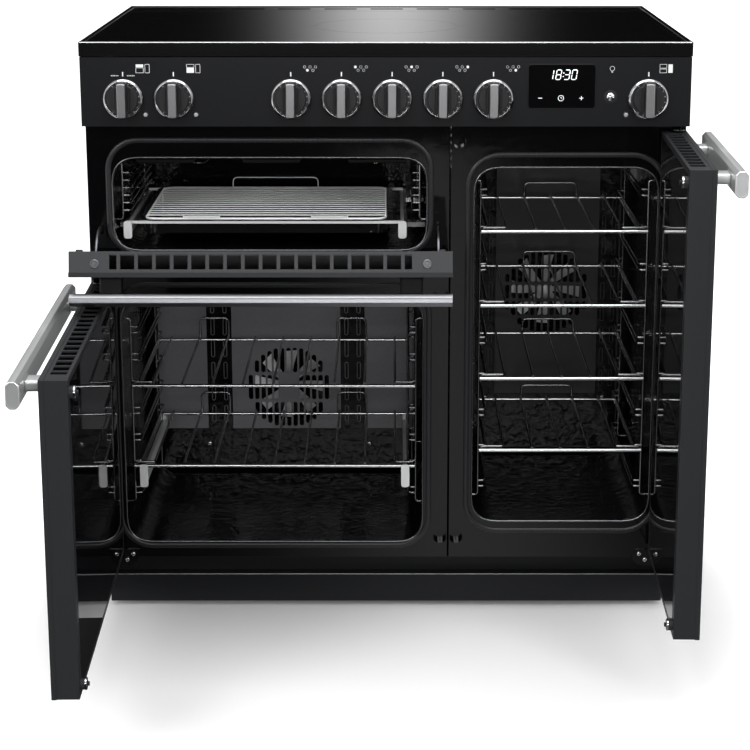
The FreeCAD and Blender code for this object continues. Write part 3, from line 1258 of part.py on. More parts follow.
def left_shelf(level):
    """Shelf of the wide oven on, or level with, one pair of rungs."""
    z = shelf_height(LEFT_LOWEST, LEFT_PITCH, level)
    return shelf(LEFT, z, LEFT_WIRE_COUNT, LEFT_HOOK_GAP,
                 [(from_wall(LEFT, side, RUNG_IN + LEFT_LOOP_IN), LEFT_LOOP_W, LEFT_LOOP_H)
                  for side in (-1, 1)])


# ---- grill pan and trivet ---------------------------------------------------------------------
def grill_pan():
    """Enamelled pan, hung by its rim on the cross rails."""
    rim_z = GRILL_RAIL_TOP + CROSS_RAIL_H
    half = PAN_W / 2 - PAN_RIM_W
    x0 = GRILL_RAIL_MIDDLE - half
    x1 = GRILL_RAIL_MIDDLE + half
    y0 = PAN_FRONT
    y1 = PAN_FRONT + PAN_DEPTH - 2 * PAN_RIM_W
    low = rim_z + PAN_T - PAN_H
    outside = rounded_flat(x0, x1, y0, y1, PAN_R, low, rim_z + PAN_T)
    rim = rounded_flat(x0 - PAN_RIM_W, x1 + PAN_RIM_W, y0 - PAN_RIM_W, y1 + PAN_RIM_W,
                       PAN_R + PAN_RIM_W, rim_z, rim_z + PAN_T)
    inside = rounded_flat(x0 + PAN_T, x1 - PAN_T, y0 + PAN_T, y1 - PAN_T, PAN_R - PAN_T,
                          low + PAN_T, rim_z + PAN_T + 1)
    return weld(outside, rim).cut(inside)


def grill_trivet():
    """Wire trivet that stands in the pan: frame, cross wires, legs and three loops."""
    middle = GRILL_RAIL_MIDDLE
    half = TRIVET_W / 2
    front = PAN_FRONT + TRIVET_SETBACK
    back = front + TRIVET_D
    frame_z = TRIVET_Z - TRIVET_WIRE_D / 2 - TRIVET_FRAME_D / 2 + WELD
    cut = TRIVET_CORNER
    outline = [V(middle, front, frame_z), V(middle - half + cut, front, frame_z),
               V(middle - half, front + cut, frame_z), V(middle - half, back - cut, frame_z),
               V(middle - half + cut, back, frame_z), V(middle + half - cut, back, frame_z),
               V(middle + half, back - cut, frame_z), V(middle + half, front + cut, frame_z),
               V(middle + half - cut, front, frame_z)]
    pieces = [bar(outline, TRIVET_FRAME_D, WIRE_SIDES, closed=True)]
    pitch = TRIVET_D / (TRIVET_WIRES + 1)
    for i in range(1, TRIVET_WIRES + 1):
        y = front + i * pitch
        pieces.append(bar([V(middle - half, y, TRIVET_Z), V(middle + half, y, TRIVET_Z)],
                          TRIVET_WIRE_D, WIRE_SIDES))
    floor = GRILL_RAIL_TOP + CROSS_RAIL_H + 2 * PAN_T - PAN_H
    under = frame_z - TRIVET_FRAME_D / 2
    legs = [bar([V(x, y, floor), V(x, y, under)], TRIVET_WIRE_D, WIRE_SIDES)
            for x in (middle - half, middle + half)
            for y in (front + TRIVET_LEG_IN, back - TRIVET_LEG_IN)]
    loop_z = TRIVET_Z + TRIVET_LOOP_UP
    for x in (middle - TRIVET_LOOP_X, middle + TRIVET_LOOP_X):
        x0 = x - TRIVET_LOOP_W / 2
        x1 = x + TRIVET_LOOP_W / 2
        out = front - TRIVET_LOOP_OUT
        pieces.append(bar([V(x0, front, frame_z), V(x0, front, loop_z), V(x0, out, loop_z),
                           V(x1, out, loop_z), V(x1, front, loop_z), V(x1, front, frame_z)],
                          TRIVET_WIRE_D, WIRE_SIDES))
    x0 = middle - TRIVET_BACK_LOOP_W / 2
    x1 = middle + TRIVET_BACK_LOOP_W / 2
    top = TRIVET_Z + TRIVET_BACK_LOOP_H
    pieces.append(bar([V(x0, back, frame_z), V(x0, back, top), V(x1, back, top),
                       V(x1, back, frame_z)], TRIVET_WIRE_D, WIRE_SIDES))
    return group(weld(*pieces), *legs)


# ---- doors ------------------------------------------------------------------------------------
def door_skin(x0, x1, z0, z1):
    """Outer skin of a shut door, folded back all round."""
    face = -DOOR_FACE
    hollow = box(x0 + SKIN_T, x1 - SKIN_T, face + SKIN_T, face + SKIN_WRAP + 1,
                 z0 + SKIN_T, z1 - SKIN_T)
    return box(x0, x1, face, face + SKIN_WRAP, z0, z1).cut(hollow)


def bezel(outline, widths, y0, y1):
    """Upright frame with its own width at the left, right, bottom and top."""
    x0, x1, z0, z1 = outline
    left, right, bottom, top = widths
    return box(x0, x1, y0, y1, z0, z1).cut(
        box(x0 + left, x1 - right, y0 - 1, y1 + 1, z0 + bottom, z1 - top))


def inner_frame(outline, rims):
    """Walls, rim and glass ledge of the inner frame of a shut door."""
    back = -DOOR_CLEAR
    glass_face = back - GLASS_T
    ledges = [rim + LEDGE for rim in rims]
    return weld(bezel(outline, [DOOR_WALL] * 4, SKIN_WRAP - DOOR_FACE, back),
                bezel(outline, rims, glass_face - DOOR_WALL, back),
                bezel(outline, ledges, glass_face - DOOR_WALL, glass_face))


def inner_glass(outline, rims):
    """Glass pane that lies on the ledge, flush with the rim."""
    x0, x1, z0, z1 = outline
    left, right, bottom, top = [rim + FIT for rim in rims]
    return box(x0 + left, x1 - right, -DOOR_CLEAR - GLASS_T, -DOOR_CLEAR, z0 + bottom, z1 - top)


def handle(x0, x1, top):
    """Full-width handle bar on two posts."""
    outer = -DOOR_FACE - BAR_STANDOFF
    inner = outer + BAR_D
    z0 = top - BAR_DOWN - BAR_H / 2
    z1 = z0 + BAR_H
    cut = BAR_CHAMFER
    section = [V(x0, outer + cut, z0), V(x0, inner - cut, z0), V(x0, inner, z0 + cut),
               V(x0, inner, z1 - cut), V(x0, inner - cut, z1), V(x0, outer + cut, z1),
               V(x0, outer, z1 - cut), V(x0, outer, z0 + cut)]
    pieces = [prism(section, V(x1 - x0, 0, 0))]
    middle = top - BAR_DOWN
    for x in (x0 + POST_IN, x1 - POST_IN):
        pieces.append(box(x - POST_W / 2, x + POST_W / 2, inner, -DOOR_FACE,
                          middle - POST_H / 2, middle + POST_H / 2))
    return group(*pieces)


def door_catch(x, z):
    """Round catch on the inner frame, with its pin."""
    body = rod(CATCH_R, V(x, -DOOR_CLEAR, z), Y_AXIS * CATCH_PROUD)
    return weld(body, rod(CATCH_PIN_R, V(x, -DOOR_CLEAR, z),
                          Y_AXIS * (CATCH_PROUD + CATCH_PIN_PROUD)))


def vent_slots(x0, x1, top):
    """Row of slots through the top wall of a shut door; the plain ends beside it cut it off."""
    middle = (x0 + x1) / 2
    vent_y = (SKIN_WRAP - DOOR_FACE - DOOR_CLEAR - VENT_D) / 2
    half_count = math.ceil((x1 - x0) / 2 / VENT_PITCH)
    slots = []
    for i in range(-half_count, half_count):
        slot_x = middle + (i + 0.5) * VENT_PITCH
        near = max(slot_x - VENT_L / 2, x0)
        far = min(slot_x + VENT_L / 2, x1)
        if far - near > VENT_LEAST:
            slots.append(box(near, far, vent_y, vent_y + VENT_D,
                             top - FRAME_INSET - DOOR_WALL - 1, top + 1))
    return slots


def side_door(side, top, catches):
    """Skin, frame, glass and handle of an oven door, swung to its stored opening."""
    hinge = side * HINGE_EDGE
    free = SEAM_X + side * DOOR_SEAM_GAP
    x0, x1 = sorted((hinge, free))
    inner_deep = DOOR_FACE - SIDE_PIVOT_DEEP - DOOR_CLEAR
    cutback = relief(SIDE_PIVOT_Y, SIDE_PIVOT_IN, inner_deep, SWING_CLEAR)
    insets = (FRAME_INSET, cutback) if side > 0 else (cutback, FRAME_INSET)
    outline = (x0 + insets[0], x1 - insets[1], DOOR_BOTTOM + FRAME_INSET, top - FRAME_INSET)
    rims = [RIM_FREE, RIM, RIM, RIM] if side > 0 else [RIM, RIM_FREE, RIM, RIM]
    pivot = V(side * SIDE_PIVOT_X, SIDE_PIVOT_Y, 0)
    deep = PIN_BITE + 2 * DOOR_WALL
    frame = inner_frame(outline, rims)
    bosses = [rod(BOSS_R, pivot + Z_AXIS * z, Z_AXIS * (deep - FRAME_INSET))
              for z in (outline[2], outline[3] - deep + FRAME_INSET)]
    bores = [rod(PIN_R + RUNNING, pivot + Z_AXIS * z, Z_AXIS * (PIN_BITE + 2))
             for z in (DOOR_BOTTOM - 1, top - PIN_BITE - 1)]
    frame = weld(frame, *bosses).cut(bores + vent_slots(x0 + VENT_END, x1 - VENT_END, top))
    latches = [door_catch(x, z) for x, z in catches]
    pieces = [door_skin(x0, x1, DOOR_BOTTOM, top), group(frame, *latches),
              inner_glass(outline, rims), handle(x0, x1, top)]
    for piece in pieces:
        piece.rotate(pivot, Z_AXIS, side * SIDE_OPEN)
    return pieces


def side_bracket(side, arm_z, pin_up, plate_h):
    """Hinge bracket of an oven door: arm, pin and the plate screwed to the frame."""
    pivot = V(side * SIDE_PIVOT_X, SIDE_PIVOT_Y, 0)
    start = V(pivot.x, pivot.y, arm_z)
    arm = box(pivot.x - ARM_HALF, pivot.x + ARM_HALF, pivot.y, 0, arm_z, arm_z + BRACKET_T)
    nose = rod(ARM_HALF, start, Z_AXIS * BRACKET_T)
    way = 1 if pin_up else -1
    pin = rod(PIN_R, start if pin_up else start + Z_AXIS * BRACKET_T,
              Z_AXIS * (way * (BRACKET_T + BRACKET_GAP + PIN_BITE)))
    xs = sorted((side * (SIDE_PIVOT_X + ARM_HALF), side * (SIDE_PIVOT_X - BRACKET_REACH)))
    low = arm_z - plate_h if pin_up else arm_z
    plate = box(xs[0], xs[1], -BRACKET_PLATE_T, 0, low, low + plate_h + BRACKET_T)
    return weld(arm, nose, pin, plate)


def grill_ear(x0, x1):
    """Ear on the frame that holds one pin of the grill door."""
    arm = box(x0, x1, GRILL_PIVOT_Y, 0, GRILL_PIVOT_Z - EAR_R, GRILL_PIVOT_Z + EAR_R)
    pivot = V(x0, GRILL_PIVOT_Y, GRILL_PIVOT_Z)
    nose = rod(EAR_R, pivot, X_AXIS * (x1 - x0))
    return weld(arm, nose).cut(rod(PIN_R + RUNNING, pivot - X_AXIS, X_AXIS * (x1 - x0 + 2)))


def hinge_brackets():
    """Everything of the hinges that stays on the frames."""
    low = DOOR_BOTTOM - BRACKET_GAP - BRACKET_T
    top_room = FASCIA_BOTTOM - DOOR_TOP - BRACKET_GAP - BRACKET_T - 1
    pieces = []
    for side, top, plate_h in ((-1, LEFT_DOOR_TOP, BRACKET_PLATE_H), (1, DOOR_TOP, top_room)):
        pieces.append(side_bracket(side, low, True, BRACKET_PLATE_H))
        pieces.append(side_bracket(side, top + BRACKET_GAP, False, plate_h))
    pieces += [grill_ear(x0, x1) for x0, x1 in both_ends(EAR_IN, EAR_IN + EAR_T)]
    slot = stay_slot(-GUIDE_T, FRAME_T, 0)
    middle = (slot[0] + slot[1]) / 2
    stay_middle = RIB_IN + RIB_T + STAY_T / 2
    for x0, x1 in both_ends(stay_middle - GUIDE_W / 2, stay_middle + GUIDE_W / 2):
        pieces.append(box(x0, x1, -GUIDE_T, 0, middle - GUIDE_H / 2, middle + GUIDE_H / 2)
                      .cut(stay_cuts()))
    return group(*pieces)


def quadrant(x0, x1):
    """Stay: part of a flat ring round the grill pin."""
    points = []
    for radius, turns in ((STAY_R + STAY_W / 2, (STAY_START, STAY_END)),
                          (STAY_R - STAY_W / 2, (STAY_END, STAY_START))):
        run = []
        for turn in (turns[0], (STAY_START + STAY_END) / 2, turns[1]):
            angle = math.radians(turn)
            run.append(V(x0, GRILL_PIVOT_Y + radius * math.sin(angle),
                         GRILL_PIVOT_Z + radius * math.cos(angle)))
        points.append(run)
    outer, inner = points
    edges = [Part.Arc(*outer).toShape(), Part.makeLine(outer[2], inner[0]),
             Part.Arc(*inner).toShape(), Part.makeLine(inner[2], outer[0])]
    return Part.Face(Part.Wire(edges)).extrude(V(x1 - x0, 0, 0))


def grill_door():
    """Skin, frame, glass, handle and stays of the grill door, swung down to its stored opening."""
    x0 = -HINGE_EDGE
    x1 = SEAM_X - DOOR_SEAM_GAP
    inner_deep = DOOR_FACE - GRILL_PIVOT_DEEP - DOOR_CLEAR
    cutback = relief(GRILL_PIVOT_Y, GRILL_PIVOT_UP, inner_deep, SEAL_PROUD + SEAL_CLEAR)
    outline = (x0 + FRAME_INSET, x1 - FRAME_INSET, GRILL_DOOR_BOTTOM + cutback,
               DOOR_TOP - FRAME_INSET)
    rims = [GRILL_RIM_END, GRILL_RIM_END, RIM, RIM]
    frame = [inner_frame(outline, rims)]
    rim_face = -DOOR_CLEAR - GLASS_T - DOOR_WALL
    for rib_x0, rib_x1 in both_ends(RIB_IN, RIB_IN + RIB_T):
        frame.append(box(rib_x0, rib_x1, SKIN_WRAP - DOOR_FACE, rim_face, outline[2],
                         outline[2] + RIB_UP))
    cuts = vent_slots(x0 + GRILL_VENT_END, x1 - GRILL_VENT_END, DOOR_TOP)
    for ear_x0, ear_x1 in both_ends(EAR_IN, EAR_IN + EAR_T):
        cuts.append(box(ear_x0 - EAR_SIDE_CLEAR, ear_x1 + EAR_SIDE_CLEAR,
                        GRILL_PIVOT_Y - EAR_R - EAR_CLEAR, 0, outline[2] - 1,
                        GRILL_PIVOT_Z + EAR_R + EAR_CLEAR))
    reach = (rim_face - GRILL_PIVOT_Y, -DOOR_CLEAR - GRILL_PIVOT_Y)
    low = GRILL_PIVOT_Z + math.sqrt((STAY_R - STAY_W / 2) ** 2 - reach[1] ** 2) - 1
    high = GRILL_PIVOT_Z + math.sqrt((STAY_R + STAY_W / 2) ** 2 - reach[0] ** 2) + 1
    stays = []
    for stay_x0, stay_x1 in both_ends(RIB_IN + RIB_T, RIB_IN + RIB_T + STAY_T):
        cuts.append(box(stay_x0, stay_x1, rim_face, 0, low, high))
        stays.append(quadrant(stay_x0, stay_x1))
    body = weld(*frame).cut(cuts)
    pins = [rod(PIN_R, V(pin_x0, GRILL_PIVOT_Y, GRILL_PIVOT_Z), X_AXIS * (pin_x1 - pin_x0))
            for pin_x0, pin_x1 in both_ends(FRAME_INSET + DOOR_WALL / 2, RIB_IN + RIB_T / 2)]
    buffers = [rod(BUFFER_R, V(x, -DOOR_CLEAR, DOOR_TOP - BUFFER_R - 1), Y_AXIS * BUFFER_PROUD)
               for x in (x0 + GRILL_RIM_END / 2, x1 - GRILL_RIM_END / 2)]
    pieces = [door_skin(x0, x1, GRILL_DOOR_BOTTOM, DOOR_TOP), group(weld(body, *pins), *buffers),
              inner_glass(outline, rims), handle(x0, x1, DOOR_TOP), group(*stays)]
    for piece in pieces:
        piece.rotate(V(0, GRILL_PIVOT_Y, GRILL_PIVOT_Z), X_AXIS, GRILL_OPEN)
    return pieces


# ---- all pieces -------------------------------------------------------------------------------
def all_pieces():
    """Every piece by its name."""
    catches = catch_places()
    pieces = {
        "base_tray": base_plate(),
        "levelling_feet": levelling_feet(),
        "rear_rollers": rear_rollers(),
        "plinth": plinth(),
        "side_panels": side_panels(),
        "back_panel": back_panel(),
        "terminal_box": terminal_box(),
        "front_frames": front_frames(),
        "service_deck": service_deck(),
        "cavity_seals": cavity_seals(),
        "control_panel": control_panel(),
        "panel_lenses": panel_lenses(),
        "control_switches": control_switches(),
        "light_button": light_button(),
        "hob_frame": hob_trim(),
        "hob_glass": hob_glass(),
        "rear_vent": rear_vent(),
        "induction_unit": induction_unit(),
        "grill_liner": liner(GRILL, None, GRILL_RUNS),
        "oven_liner_left": liner(LEFT, (LEFT_FAN_X, LEFT_FAN_Z), LEFT_RUNS),
        "oven_liner_right": liner(RIGHT, (RIGHT_FAN_X, RIGHT_FAN_Z), 0),
        "fan_covers": fan_covers(),
        "fan_left": fan(LEFT_FAN_X, LEFT_FAN_Z),
        "fan_right": fan(RIGHT_FAN_X, RIGHT_FAN_Z),
        "fan_motors": fan_motors(),
        "heating_elements": heating_elements(),
        "oven_lamps": oven_lamps(),
        "shelf_supports": shelf_supports(),
        "runners_left": runners_left(),
        "shelf_left_lower": left_shelf(LEFT_LOWER_LEVEL),
        "shelf_left_upper": left_shelf(LEFT_UPPER_LEVEL),
        "grill_runners": grill_runners(),
        "grill_pan": grill_pan(),
        "grill_trivet": grill_trivet(),
        "hinge_brackets": hinge_brackets(),
    }
    for i, x in enumerate(KNOB_XS, 1):
        pieces[f"knob_{i}"] = knob(x)
    for i, level in enumerate(RIGHT_LEVEL_USED, 1):
        pieces[f"shelf_right_{i}"] = right_shelf(level)
    kinds = ("skin", "frame", "glass", "handle")
    for name, side, top, own in (("left", -1, LEFT_DOOR_TOP, catches[:2]),
                                 ("right", 1, DOOR_TOP, catches[2:])):
        for kind, shape in zip(kinds, side_door(side, top, own)):
            pieces[f"door_{kind}_{name}"] = shape
    names = [f"grill_door_{kind}" for kind in kinds] + ["grill_stays"]
    pieces.update(zip(names, grill_door()))
    return pieces


def main():
    """Draw, move to the middle of the footprint and save."""
    pieces = all_pieces()
    bounds = [shape.optimalBoundingBox(False) for shape in pieces.values()]
    offset = -(min(b.YMin for b in bounds) + max(b.YMax for b in bounds)) / 2
    os.makedirs("parts", exist_ok=True)
    for name, shape in pieces.items():
        shape.translate(V(0, offset, 0))
        if not shape.isValid():
            raise RuntimeError(f"{name} is not a valid shape")
        shape.exportStep(f"parts/{name}.step")
    print(f"{len(pieces)} pieces, moved {offset:.3f} mm along Y")


main()
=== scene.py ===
"""Range cooker, 900 mm wide: the finishes, fine pieces and studio round its CAD frame.

Sizes in the classes are millimetres and become metres where a mesh is made. X runs to the right,
Y to the back and Z up. A door's pieces are drawn with the door shut and then swung open with it.
"""

from __future__ import annotations

import json
import logging
import math
from dataclasses import dataclass
from enum import Enum
from typing import Sequence

import bmesh
import bpy
from mathutils import Matrix, Vector

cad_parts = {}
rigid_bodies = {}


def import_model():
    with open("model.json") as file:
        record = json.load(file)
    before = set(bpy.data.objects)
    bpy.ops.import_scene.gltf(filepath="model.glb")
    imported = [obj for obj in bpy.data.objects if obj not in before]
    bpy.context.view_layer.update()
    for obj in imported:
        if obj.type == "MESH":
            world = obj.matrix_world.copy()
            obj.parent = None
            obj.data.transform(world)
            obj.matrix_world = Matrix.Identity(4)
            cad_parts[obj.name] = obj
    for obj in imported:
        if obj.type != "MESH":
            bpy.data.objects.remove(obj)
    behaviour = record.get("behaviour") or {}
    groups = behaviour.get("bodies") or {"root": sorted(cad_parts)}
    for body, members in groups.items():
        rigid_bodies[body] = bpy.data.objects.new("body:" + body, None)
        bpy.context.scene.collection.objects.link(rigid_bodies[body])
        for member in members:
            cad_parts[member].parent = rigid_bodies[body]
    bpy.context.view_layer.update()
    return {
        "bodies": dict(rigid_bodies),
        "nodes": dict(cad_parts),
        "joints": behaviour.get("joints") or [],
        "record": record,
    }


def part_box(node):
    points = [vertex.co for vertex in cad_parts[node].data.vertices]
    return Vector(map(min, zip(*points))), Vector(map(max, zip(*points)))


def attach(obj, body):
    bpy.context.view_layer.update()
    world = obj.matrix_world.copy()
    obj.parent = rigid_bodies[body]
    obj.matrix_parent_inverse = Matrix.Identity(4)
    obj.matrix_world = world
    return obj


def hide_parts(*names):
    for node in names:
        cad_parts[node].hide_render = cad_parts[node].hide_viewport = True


LOG = logging.getLogger("range_cooker")
MM = 0.001
Y_AXIS = Vector((0, 1, 0))
Z_AXIS = Vector((0, 0, 1))
Pair = tuple[float, float]
SocketPair = tuple[bpy.types.NodeSocket, bpy.types.NodeSocket]


# ---- colour and nodes -------------------------------------------------------------------------
def linear(colour: str) -> tuple[float, float, float, float]:
    """Turns an sRGB hex value into linear RGBA.

    Args:
        colour: The colour as "#rrggbb".

    Returns:
        The linear red, green, blue and an alpha of 1.
    """
    parts = [int(colour[i:i + 2], 16) / 255 for i in (1, 3, 5)]
    levels = [p / 12.92 if p <= 0.04045 else ((p + 0.055) / 1.055) ** 2.4 for p in parts]
    return (levels[0], levels[1], levels[2], 1.0)


def add_node(tree: bpy.types.NodeTree, kind: str, feeds: dict | None = None,
             **settings: object) -> bpy.types.Node:
    """Adds a node with its settings and links.

    Args:
        tree: The node tree that it joins.
        kind: The node's type name.
        feeds: For each input, by name or number, a value or the output that feeds it.
        settings: Properties of the node itself.

    Returns:
        The new node.
    """
    node = tree.nodes.new(kind)
    for key, value in settings.items():
        setattr(node, key, value)
    for socket, value in (feeds or {}).items():
        if isinstance(value, bpy.types.NodeSocket):
            tree.links.new(value, node.inputs[socket])
        else:
            node.inputs[socket].default_value = value
    return node


class Making(Enum):
    """How a surface was made, which sets the pattern of its fine relief."""

    SPRAYED = "sprayed"
    FUSED = "fused"
    BRUSHED = "brushed"
    ROLLED = "rolled"
    DIPPED = "dipped"
    BRAIDED = "braided"
    MOULDED = "moulded"
    POLISHED = "polished"


@dataclass(frozen=True)
class Finish:
    """One finish of the cooker: what it is made of, its two colours and its relief.

    The grain is the width of the relief's pattern and the depth its height, both in millimetres.
    The two colours mix by that pattern, and the roughness varies by the spread with it.
    """

    title: str
    slot: str
    making: Making
    colour: str
    tint: str
    grain: float
    depth: float
    roughness: float
    spread: float = 0.04
    metallic: float = 0.0
    specular: float = 0.5
    transmission: float = 0.0
    anisotropy: float = 0.0
    glow: float = 0.0
    # another tone of the same finish right of right_from: painted light and shade
    right_painted_shade: str = ""
    right_from: float = 0.1
    line_stretch: float = 0.025
    roll_stretch: float = 0.2
    plaits: float = 6.0
    pits: float = 9.0
    pit_share: float = 0.06

    def material(self) -> bpy.types.Material:
        """Makes the node material, or finds it if it was made before.

        Returns:
            The material.
        """
        found = bpy.data.materials.get(self.title)
        if found is not None:
            return found
        made = bpy.data.materials.new(self.title)
        made.use_nodes = True
        tree = made.node_tree
        shader = tree.nodes["Principled BSDF"]
        for socket, value in (("Metallic", self.metallic), ("Specular IOR Level", self.specular),
                              ("Transmission Weight", self.transmission),
                              ("Anisotropic", self.anisotropy), ("Emission Strength", self.glow),
                              ("Emission Color", linear(self.colour))):
            shader.inputs[socket].default_value = value
        share, height = self.pattern(tree)
        colour = add_node(tree, "ShaderNodeMix", {0: share, 6: linear(self.colour),
                                                  7: linear(self.tint)}, data_type="RGBA")
        # painted light and shade: right of right_from the finish takes its other tone
        if self.right_painted_shade:
            place = add_node(tree, "ShaderNodeTexCoord").outputs["Object"]
            parts = add_node(tree, "ShaderNodeSeparateXYZ", {"Vector": place})
            side = add_node(tree, "ShaderNodeMath",
                            {0: parts.outputs["X"], 1: self.right_from},
                            operation="GREATER_THAN")
            colour = add_node(tree, "ShaderNodeMix",
                              {0: side.outputs["Value"], 6: colour.outputs[2],
                               7: linear(self.right_painted_shade)}, data_type="RGBA")
        rough = add_node(tree, "ShaderNodeMapRange",
                         {"Value": share, "To Min": max(self.roughness - self.spread, 0.0),
                          "To Max": self.roughness + self.spread})
        bump = add_node(tree, "ShaderNodeBump", {"Height": height, "Distance": self.depth * MM})
        tree.links.new(colour.outputs[2], shader.inputs["Base Color"])
        tree.links.new(rough.outputs["Result"], shader.inputs["Roughness"])
        tree.links.new(bump.outputs["Normal"], shader.inputs["Normal"])
        return made

    def pattern(self, tree: bpy.types.NodeTree) -> SocketPair:
        """Draws the relief of the way the surface was made.

        Args:
            tree: The material's node tree.

        Returns:
            The output that mixes the two colours and the one that gives the height.
        """
        place = add_node(tree, "ShaderNodeTexCoord").outputs["Object"]
        scale = 1 / (self.grain * MM)
        if self.making is Making.BRUSHED:
            # scratches run across the width of the cooker, forty times as long as they are wide
            place = add_node(tree, "ShaderNodeMapping",
                             {"Vector": place, "Scale": (self.line_stretch, 1, 1)}
                             ).outputs["Vector"]
        if self.making is Making.ROLLED:
            # rolling draws the marks out to five times their width
            place = add_node(tree, "ShaderNodeMapping",
                             {"Vector": place, "Scale": (1, 1, self.roll_stretch)}
                             ).outputs["Vector"]
        if self.making is Making.DIPPED:
            # zinc crystals: each cell takes its own grey
            cells = add_node(tree, "ShaderNodeTexVoronoi", {"Vector": place, "Scale": scale})
            return cells.outputs["Color"], cells.outputs["Distance"]
        if self.making is Making.BRAIDED:
            # two crossing bands stand for the plaits of the braid
            first = add_node(tree, "ShaderNodeTexWave",
                             {"Vector": place, "Scale": scale / self.plaits},
                             bands_direction="DIAGONAL")
            turned = add_node(tree, "ShaderNodeMapping",
                              {"Vector": place, "Rotation": (0, math.pi / 2, 0)})
            second = add_node(tree, "ShaderNodeTexWave",
                              {"Vector": turned.outputs["Vector"],
                               "Scale": scale / self.plaits},
                              bands_direction="DIAGONAL")
            crossed = add_node(tree, "ShaderNodeMath", {0: first.outputs["Fac"],
                                                        1: second.outputs["Fac"]},
                               operation="MULTIPLY")
            return crossed.outputs["Value"], crossed.outputs["Value"]
        if self.making is Making.FUSED:
            # glass fused on steel: slow ripples, with fine pinholes between them
            ripple = add_node(tree, "ShaderNodeTexNoise",
                              {"Vector": place, "Scale": scale, "Detail": 2.0,
                               "Roughness": 0.45, "Distortion": 0.6})
            pits = add_node(tree, "ShaderNodeTexNoise",
                            {"Vector": place, "Scale": scale * self.pits, "Detail": 1.0})
            height = add_node(tree, "ShaderNodeMath",
                              {0: pits.outputs["Fac"], 1: self.pit_share,
                               2: ripple.outputs["Fac"]}, operation="MULTIPLY_ADD")
            return pits.outputs["Fac"], height.outputs["Value"]
        noise = add_node(tree, "ShaderNodeTexNoise", {"Vector": place, "Scale": scale,
                                                      "Detail": 3.0, "Roughness": 0.55})
        return noise.outputs["Fac"], noise.outputs["Fac"]


# Polyester powder coat on steel, sprayed and baked: satin charcoal that holds a soft light.
CASING_PAINT = Finish("powder_coat_charcoal", "casing_paint", Making.SPRAYED,
                      "#141517", "#18191b", grain=1.5, depth=0.012, roughness=0.36, specular=0.2)
# The same coat on the control panel, darker and with finer peel, so that its print stands out.
FASCIA_PAINT = Finish("powder_coat_fascia", "casing_paint", Making.SPRAYED, "#111214", "#151618",
                      grain=1.2, depth=0.01, roughness=0.36, specular=0.12)
# The doors' powder coat, a shade paler: their edges read as soft dark grey.
DOOR_PAINT = Finish("powder_coat_door", "door_enamel", Making.SPRAYED, "#232426", "#27282a",
                    grain=1.5, depth=0.012, roughness=0.38, specular=0.15)
# Powder coat on the grill door's inner frame, drawn paler than the other doors: painted light, as
# it faces up into the lamps.
GRILL_DOOR_LIT_PAINT = Finish("powder_coat_grill_door_painted_light", "door_enamel", Making.SPRAYED,
                          "#353638", "#3a3b3d", grain=1.5, depth=0.012, roughness=0.38,
                          specular=0.2)
# Vitreous enamel, glass fused on steel: black with deep gloss and ripples almost too slow to see.
FRAME_ENAMEL = Finish("vitreous_enamel_frame", "frame_enamel", Making.FUSED, "#050506", "#08080a",
                      grain=60.0, depth=0.2, roughness=0.06, spread=0.02, specular=0.5)
# The same black enamel on a rolled edge round each mouth, drawn as a pale metal: its fine pale
# line is a painted highlight, as a bead this thin shows nothing but its highlight.
LIP_PAINTED_HIGHLIGHT = Finish("enamel_lip_painted_highlight", "frame_enamel", Making.POLISHED, "#6e7072", "#7b7d7f",
                    grain=20.0, depth=0.002, roughness=0.22, spread=0.03, metallic=1.0)
# Enamel of the liners, fused on rough steel: black, with ripples that break up every highlight.
CAVITY_ENAMEL = Finish("vitreous_enamel_cavity", "cavity_enamel", Making.FUSED,
                       "#070708", "#0e0e10", grain=14.0, depth=0.9, roughness=0.07, spread=0.02,
                       specular=0.2)
# Satin enamel of the back covers, one enamel in two tones: mid grey in the wide oven and charcoal
# in the tall one, painted light and shade for the light that each back catches.
COVER_ENAMEL = Finish("satin_enamel_cover", "cover_enamel", Making.FUSED, "#66666a", "#707074",
                      grain=40.0, depth=0.3, roughness=0.24, specular=0.4,
                      right_painted_shade="#2b2b2e")
# Gloss stoving enamel on the hob's trim and the flanges: black with crisp edge lines.
TRIM_PAINT = Finish("gloss_enamel_trim", "trim_black", Making.SPRAYED, "#0b0b0c", "#0e0e0f",
                    grain=3.0, depth=0.004, roughness=0.09, spread=0.02, specular=0.4)
# Hot-dipped galvanised steel: pale zinc crystals, each of its own grey.
GALVANISED = Finish("galvanised_steel", "galvanised", Making.DIPPED, "#8f9396", "#b4b7b9",
                    grain=14.0, depth=0.01, roughness=0.42, metallic=1.0)
# Glass-ceramic, rolled and polished: black in depth and dead smooth on top.
CERAMIC_GLASS = Finish("glass_ceramic", "ceramic_glass", Making.POLISHED, "#060607", "#08080a",
                       grain=90.0, depth=0.0, roughness=0.06, spread=0.01, specular=0.5)
# Toughened float glass, tinted nearly black: it mirrors the shelves across from it.
DOOR_GLASS = Finish("toughened_glass_tinted", "door_glass", Making.POLISHED, "#050506", "#07070a",
                    grain=120.0, depth=0.0, roughness=0.03, spread=0.015, specular=0.6)
# Smoked polycarbonate, moulded and polished: a dark window that hides what is behind it.
LENS_GLASS = Finish("smoked_lens", "lens_glass", Making.POLISHED, "#050506", "#070708",
                    grain=50.0, depth=0.0, roughness=0.1, spread=0.02, specular=0.15)
# Frosted polycarbonate, moulded: a small dull grey dot while its neon is off.
NEON_LENS = Finish("frosted_neon_lens", "lens_glass", Making.MOULDED, "#8c8c8c", "#9a9a9a",
                   grain=1.0, depth=0.02, roughness=0.3)
# Pressed borosilicate glass: half clear, with the soft waves of the press.
LAMP_GLASS = Finish("pressed_borosilicate", "lamp_glass", Making.MOULDED, "#c9cbc8", "#dcdedb",
                    grain=3.0, depth=0.3, roughness=0.12, specular=0.6, transmission=0.6)
